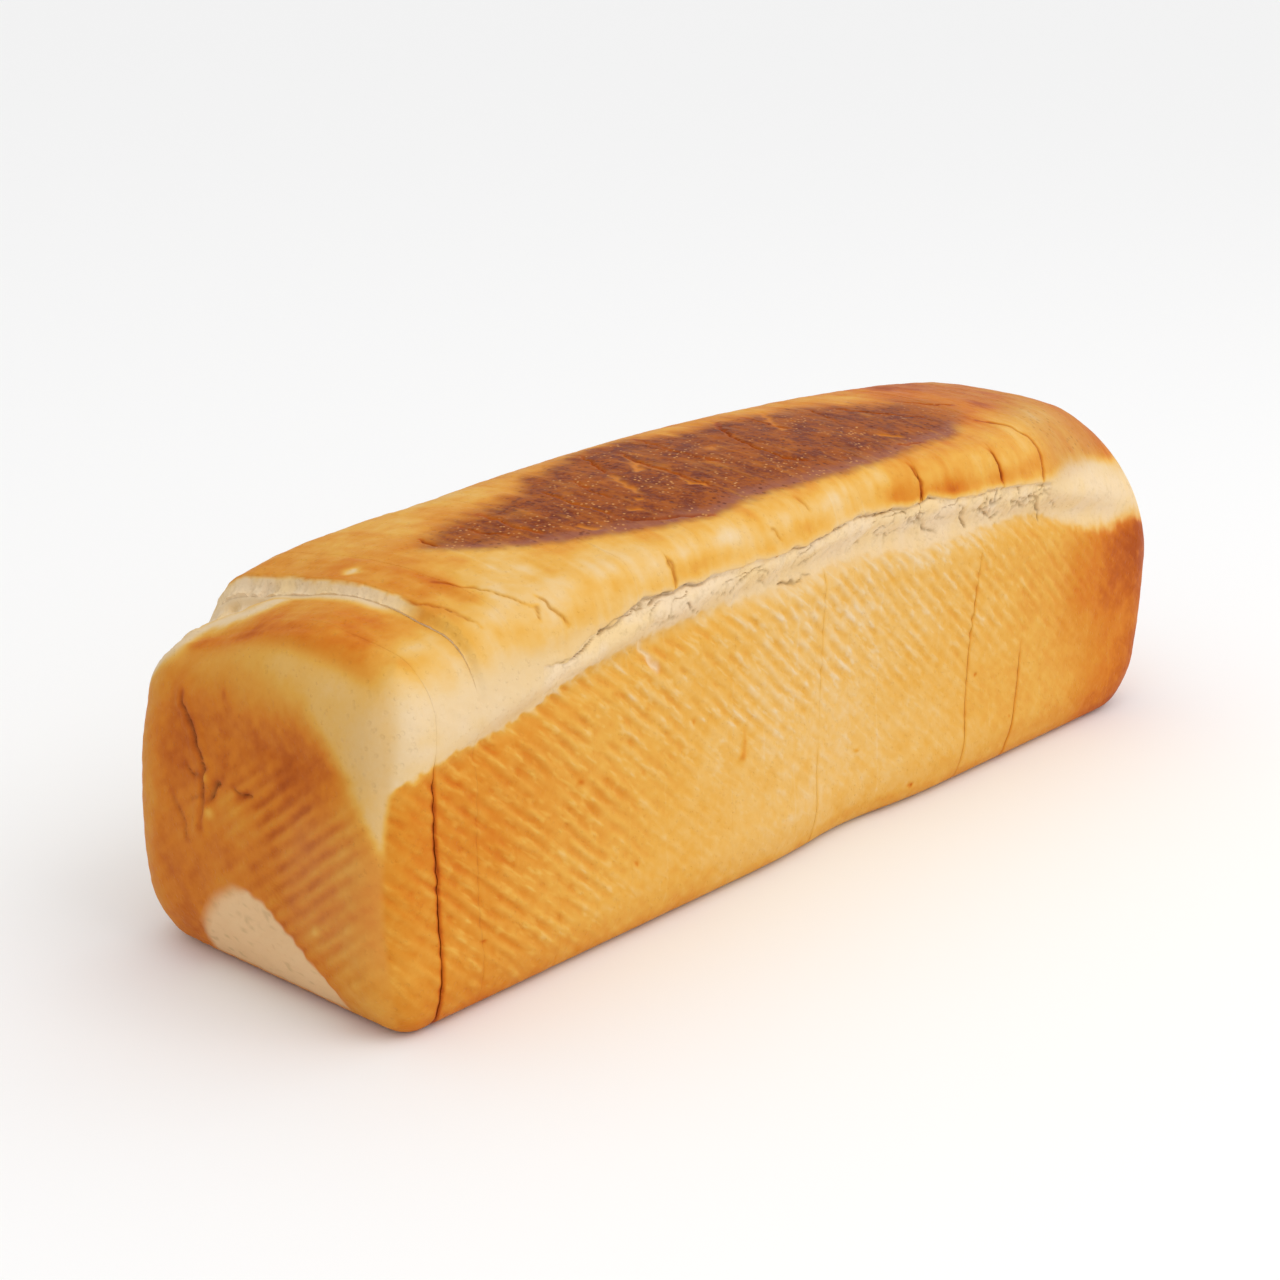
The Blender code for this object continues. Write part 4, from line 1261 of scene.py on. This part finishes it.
def crumb_group(looks):
    """Torn or cut crumb: colour, with painted shade greying its hollows, and the height of its cells and strings."""
    group, make, inside, out = new_group(
        "open crumb", [("Scale", "NodeSocketFloat", 1.0)],
        [("Color", "NodeSocketColor"), ("Height", "NodeSocketFloat")])
    place = make.node("ShaderNodeTexCoord").outputs["Object"]
    scaled = make.node("ShaderNodeVectorMath", operation="SCALE")
    make.join(place, scaled.inputs[0])
    make.join(inside.outputs["Scale"], scaled.inputs["Scale"])
    place = scaled.outputs["Vector"]
    walls = make.cells(place, 700.0, "F1")
    strings = make.noise(place, 420.0, 4.0, 0.65)
    patches = make.noise(place, 90.0, 3.0, 0.55)
    hollow = make.maths("MULTIPLY", make.span(strings, 0.52, 0.36), make.span(walls, 0.25, 0.6))
    colour = make.mix(make.span(patches, 0.35, 0.65), (*looks.crumb, 1.0), (*looks.crumb_warm, 1.0))
    # painted shade: the hollows between the strings greyed towards a darker crumb colour
    colour = make.mix(make.maths("MULTIPLY", hollow, 0.22), colour, (*looks.crumb_hollow_shade, 1.0))
    make.join(colour, out.inputs["Color"])
    make.join(make.maths("SUBTRACT", strings, make.maths("MULTIPLY", hollow, 0.3)), out.inputs["Height"])
    return group


def place_group(make, group, **values):
    made = make.node("ShaderNodeGroup", node_tree=group)
    for name, value in values.items():
        make.put(made.inputs[name.replace("_", " ")], value)
    return made


def crust_material(name, looks, mottle, roughness):
    """Baked crust that turns to crumb or raw dough where the masks say so, and darkens with painted shade in its
    cracks.
    """
    material = bpy.data.materials.new(name)
    material.use_nodes = True
    make = TreeMaker(material.node_tree)
    shader = material.node_tree.nodes["Principled BSDF"]
    groups = {group.name: group for group in bpy.data.node_groups}
    bake, char, rim = make.attribute("bake"), make.attribute("char"), make.attribute("rim")
    crumb, crack, raw = make.attribute("crumb"), make.attribute("crack"), make.attribute("raw")
    baked = place_group(make, groups["baked crust colour"], Bake=bake, Char=char, Rim=rim, Mottle=mottle)
    specks = place_group(make, groups["crust specks"], Amount=char)
    opened = place_group(make, groups["open crumb"], Scale=1.0)
    colour = make.mix(make.maths("MULTIPLY", specks.outputs["Pale"], 0.9), baked.outputs["Color"], (*looks.speck_pale, 1.0))
    colour = make.mix(make.maths("MULTIPLY", specks.outputs["Dark"], 0.7), colour, (*looks.speck_dark, 1.0))
    colour = make.mix(raw, colour, (*looks.raw_dough, 1.0))
    colour = make.mix(crumb, colour, opened.outputs["Color"])
    # painted shade in cracks, and the unbrowned patch's dark dots
    colour = make.mix(crack, colour, (*looks.crack, 1.0))
    make.join(colour, shader.inputs["Base Color"])
    satin = make.span(baked.outputs["Shade"], 0.35, 0.65, roughness - 0.06, roughness + 0.06)
    dull = make.maths("MAXIMUM", crumb, raw)
    rough_value = make.maths("ADD", satin, make.maths("MULTIPLY", dull, 0.30), clamp=True)
    make.join(rough_value, shader.inputs["Roughness"])
    shader.inputs["Specular IOR Level"].default_value = 0.07
    shader.inputs["Subsurface Weight"].default_value = 0.0
    skin = make.maths("MULTIPLY", baked.outputs["Shade"], 0.10)
    skin = make.maths("ADD", skin, make.maths("MULTIPLY", specks.outputs["Height"], 0.16))
    torn = make.maths("MULTIPLY", make.maths("MULTIPLY", opened.outputs["Height"], crumb), 0.38)
    bump = make.node("ShaderNodeBump")
    bump.inputs["Strength"].default_value = 0.8
    bump.inputs["Distance"].default_value = 0.8 * MM
    make.join(make.maths("ADD", skin, torn), bump.inputs["Height"])
    make.join(bump.outputs["Normal"], shader.inputs["Normal"])
    return material


def plain_material(name, colour, roughness):
    material = bpy.data.materials.new(name)
    material.use_nodes = True
    shader = material.node_tree.nodes["Principled BSDF"]
    shader.inputs["Base Color"].default_value = (*colour, 1.0)
    shader.inputs["Roughness"].default_value = roughness
    return material


def colour_property(name, description, default):
    return bpy.props.FloatVectorProperty(name=name, description=description, default=default, size=3,
                                         subtype="COLOR", min=0.0, max=1.0)


class TinLoafCrust(bpy.types.PropertyGroup):
    """Colours of the crust and crumb, and how shiny the crust is."""

    cream: colour_property("Cream", "Crust that has hardly browned", (0.75, 0.58, 0.38))
    straw: colour_property("Straw", "Pale golden crust", (0.735, 0.52, 0.26))
    golden: colour_property("Golden", "Golden crust of the walls", (0.735, 0.44, 0.125))
    amber: colour_property("Amber", "Crust a little browner than golden", (0.715, 0.375, 0.065))
    orange: colour_property("Orange", "Crust that has turned orange", (0.68, 0.30, 0.040))
    deep_orange: colour_property("Deep orange", "Orange-brown crust", (0.635, 0.238, 0.022))
    tan: colour_property("Tan", "Brown crust in full light", (0.60, 0.178, 0.012))
    brown: colour_property("Brown", "Brown crust of the ends", (0.49, 0.112, 0.006))
    deep_brown: colour_property("Deep brown", "The darkest crust of the ends", (0.38, 0.070, 0.003))
    dark_top: colour_property("Dark top", "The dark brown top", (0.155, 0.022, 0.003))
    dark_top_light: colour_property("Dark top, lighter", "Lighter patches of the dark top", (0.33, 0.078, 0.007))
    # painted sheen: the purple-grey reflection along the dark top's edge, painted as colour
    dark_rim_painted_sheen: colour_property("Dark rim", "The dark top's purple-brown edge", (0.30, 0.095, 0.050))
    speck_pale: colour_property("Pale specks", "Tiny blisters on the dark top", (0.62, 0.28, 0.09))
    speck_dark: colour_property("Dark specks", "Tiny burnt dots on the dark top", (0.11, 0.018, 0.006))
    crumb: colour_property("Crumb", "Torn or cut crumb", (0.80, 0.62, 0.41))
    crumb_warm: colour_property("Warm crumb", "Warmer patches of crumb", (0.81, 0.59, 0.31))
    # painted shade in the hollows of the crumb
    crumb_hollow_shade: colour_property("Crumb hollows", "Hollows between the crumb's strings", (0.46, 0.32, 0.15))
    raw_dough: colour_property("Unbrowned patch", "The patch low on the near end", (0.77, 0.52, 0.285))
    # painted shade: the dark colour at the bottom of cracks, used also for the unbrowned patch's own dots
    crack: colour_property("Cracks", "The bottom of a crack", (0.24, 0.14, 0.05))
    roughness: bpy.props.FloatProperty(name="Crust roughness", description="Roughness of the satin crust",
                                       default=0.50, min=0.2, max=1.0, subtype="FACTOR")
    mottle: bpy.props.FloatProperty(name="Mottling", description="How unevenly the crust has browned",
                                    default=0.06, min=0.0, max=0.3, subtype="FACTOR")


class TinLoafStage(bpy.types.PropertyGroup):
    """Floor, lamps and camera."""

    floor: colour_property("Floor", "Colour of the pale floor", (0.90, 0.90, 0.90))
    sky_bright: bpy.props.FloatProperty(name="Bright side", description="Strength of the room's light where it is brightest",
                                        default=1.15, min=0.0, max=5.0)
    sky_dim: bpy.props.FloatProperty(name="Dim side", description="Strength of the room's light on the other side",
                                     default=0.30, min=0.0, max=5.0)
    key: bpy.props.FloatProperty(name="Main lamp", description="Power of the large lamp over the front",
                                 default=2.6, min=0.0, max=200.0, subtype="POWER", unit="POWER")
    fill: bpy.props.FloatProperty(name="Side lamp", description="Power of the lamp beside the near end",
                                  default=0.0, min=0.0, max=200.0, subtype="POWER", unit="POWER")
    lens: bpy.props.FloatProperty(name="Lens", description="Focal length of the camera", default=67.93,
                                  min=10.0, max=300.0, unit="CAMERA")


class TINLOAF_OT_materials(bpy.types.Operator):
    """Make the crust materials and the node groups that they share"""

    bl_idname = "tin_loaf.materials"
    bl_label = "Crust Materials"

    def execute(self, context):
        looks = context.scene.tin_loaf_crust
        baked_colour_group(looks)
        speck_group()
        crumb_group(looks)
        crust_material("slice crust", looks, looks.mottle, looks.roughness)
        crust_material("end crust", looks, looks.mottle * 1.4, looks.roughness + 0.04)
        return {"FINISHED"}


class TINLOAF_OT_slices(bpy.types.Operator):
    """Make the twenty-three slices between the crust ends"""

    bl_idname = "tin_loaf.slices"
    bl_label = "Slices"

    def execute(self, context):
        crust = bpy.data.materials["slice crust"]
        for number in range(1, SLICES + 1):
            name = f"slice_{number:02d}"
            add_piece(f"{name}_bread", make_slice(number), number, name, crust)
        return {"FINISHED"}


class TINLOAF_OT_near_heel(bpy.types.Operator):
    """Make the near crust end, with its torn corner and unbrowned patch"""

    bl_idname = "tin_loaf.near_heel"
    bl_label = "Near Heel"

    def execute(self, context):
        shell, index = make_heel(-1.0)
        add_piece("near_heel_bread", shell, index, "near_heel", bpy.data.materials["end crust"])
        return {"FINISHED"}


class TINLOAF_OT_far_heel(bpy.types.Operator):
    """Make the far crust end"""

    bl_idname = "tin_loaf.far_heel"
    bl_label = "Far Heel"

    def execute(self, context):
        shell, index = make_heel(1.0)
        add_piece("far_heel_bread", shell, index, "far_heel", bpy.data.materials["end crust"])
        return {"FINISHED"}


CAMERA_PLACE = Vector((-0.48322, -0.40955, 0.25790))
CAMERA_BACK = Vector((-0.70329, -0.63651, 0.31661))
LIGHT_SIDE = (0.34, -0.52, 0.78)     # where the room is brightest: above, in front and a little to the far end


def add_lamp(name, place, aim, width, power, colour):
    lamp = bpy.data.lights.new(name, "AREA")
    lamp.shape = "SQUARE"
    lamp.size = width
    lamp.energy = power
    lamp.color = colour
    holder = bpy.data.objects.new(name, lamp)
    back = (Vector(place) - Vector(aim)).normalized()
    holder.matrix_world = Matrix.Translation(place) @ back.to_track_quat("Z", "Y").to_matrix().to_4x4()
    bpy.context.scene.collection.objects.link(holder)
    return holder


class TINLOAF_OT_stage(bpy.types.Operator):
    """Make the pale floor, the soft lamps and the camera"""

    bl_idname = "tin_loaf.stage"
    bl_label = "Stage"

    def execute(self, context):
        scene = context.scene
        setting = scene.tin_loaf_stage
        half = 6.0
        mesh = bpy.data.meshes.new("floor")
        corners = [(-half, -half, 0.0), (half, -half, 0.0), (half, half, 0.0), (-half, half, 0.0)]
        mesh.from_pydata(corners, [], [(0, 1, 2, 3)])
        mesh.materials.append(plain_material("pale floor", setting.floor, 0.9))
        floor = bpy.data.objects.new("floor", mesh)
        scene.collection.objects.link(floor)
        world = bpy.data.worlds.new("soft room")
        world.use_nodes = True
        make = TreeMaker(world.node_tree)
        facing_light = make.node("ShaderNodeVectorMath", operation="DOT_PRODUCT")
        make.join(make.node("ShaderNodeTexCoord").outputs["Generated"], facing_light.inputs[0])
        facing_light.inputs[1].default_value = LIGHT_SIDE
        strength = make.span(facing_light.outputs["Value"], -1.0, 1.0, setting.sky_dim, setting.sky_bright)
        sky = world.node_tree.nodes["Background"]
        sky.inputs["Color"].default_value = (1.0, 1.0, 1.0, 1.0)
        make.join(strength, sky.inputs["Strength"])
        scene.world = world
        add_lamp("main lamp", (0.10, -0.75, 0.95), (0.0, 0.0, 0.06), 0.7, setting.key, (1.0, 0.98, 0.95))
        add_lamp("side lamp", (-0.9, -0.1, 0.5), (-0.1, 0.0, 0.05), 0.6, setting.fill, (1.0, 0.98, 0.95))
        camera = bpy.data.cameras.new("camera")
        camera.type = "PERSP"
        camera.sensor_width = 36.0
        camera.lens = setting.lens
        camera.clip_start = 0.01
        camera.clip_end = 50.0
        holder = bpy.data.objects.new("camera", camera)
        turn = CAMERA_BACK.to_track_quat("Z", "Y").to_matrix().to_4x4()
        holder.matrix_world = Matrix.Translation(CAMERA_PLACE) @ turn
        scene.collection.objects.link(holder)
        scene.camera = holder
        scene.view_settings.view_transform = "Standard"
        return {"FINISHED"}


class TINLOAF_PT_panel(bpy.types.Panel):
    """Lists the loaf's pieces and their settings"""

    bl_idname = "TINLOAF_PT_panel"
    bl_label = "Tin Loaf"
    bl_space_type = "VIEW_3D"
    bl_region_type = "UI"
    bl_category = "Tin Loaf"

    def draw(self, context):
        layout = self.layout
        for operator in OPERATORS:
            layout.operator(operator.bl_idname)
        for group in (context.scene.tin_loaf_crust, context.scene.tin_loaf_stage):
            box = layout.box()
            for name in group.__annotations__:
                box.prop(group, name)


OPERATORS = (TINLOAF_OT_materials, TINLOAF_OT_near_heel, TINLOAF_OT_slices, TINLOAF_OT_far_heel, TINLOAF_OT_stage)
CLASSES = (TinLoafCrust, TinLoafStage, *OPERATORS, TINLOAF_PT_panel)


def register():
    for item in CLASSES:
        bpy.utils.register_class(item)
    bpy.types.Scene.tin_loaf_crust = bpy.props.PointerProperty(type=TinLoafCrust)
    bpy.types.Scene.tin_loaf_stage = bpy.props.PointerProperty(type=TinLoafStage)


def unregister():
    del bpy.types.Scene.tin_loaf_stage
    del bpy.types.Scene.tin_loaf_crust
    for item in reversed(CLASSES):
        bpy.utils.unregister_class(item)


def main():
    register()
    bpy.ops.tin_loaf.materials()
    bpy.ops.tin_loaf.near_heel()
    bpy.ops.tin_loaf.slices()
    bpy.ops.tin_loaf.far_heel()
    bpy.ops.tin_loaf.stage()


if __name__ == "__main__":
    main()
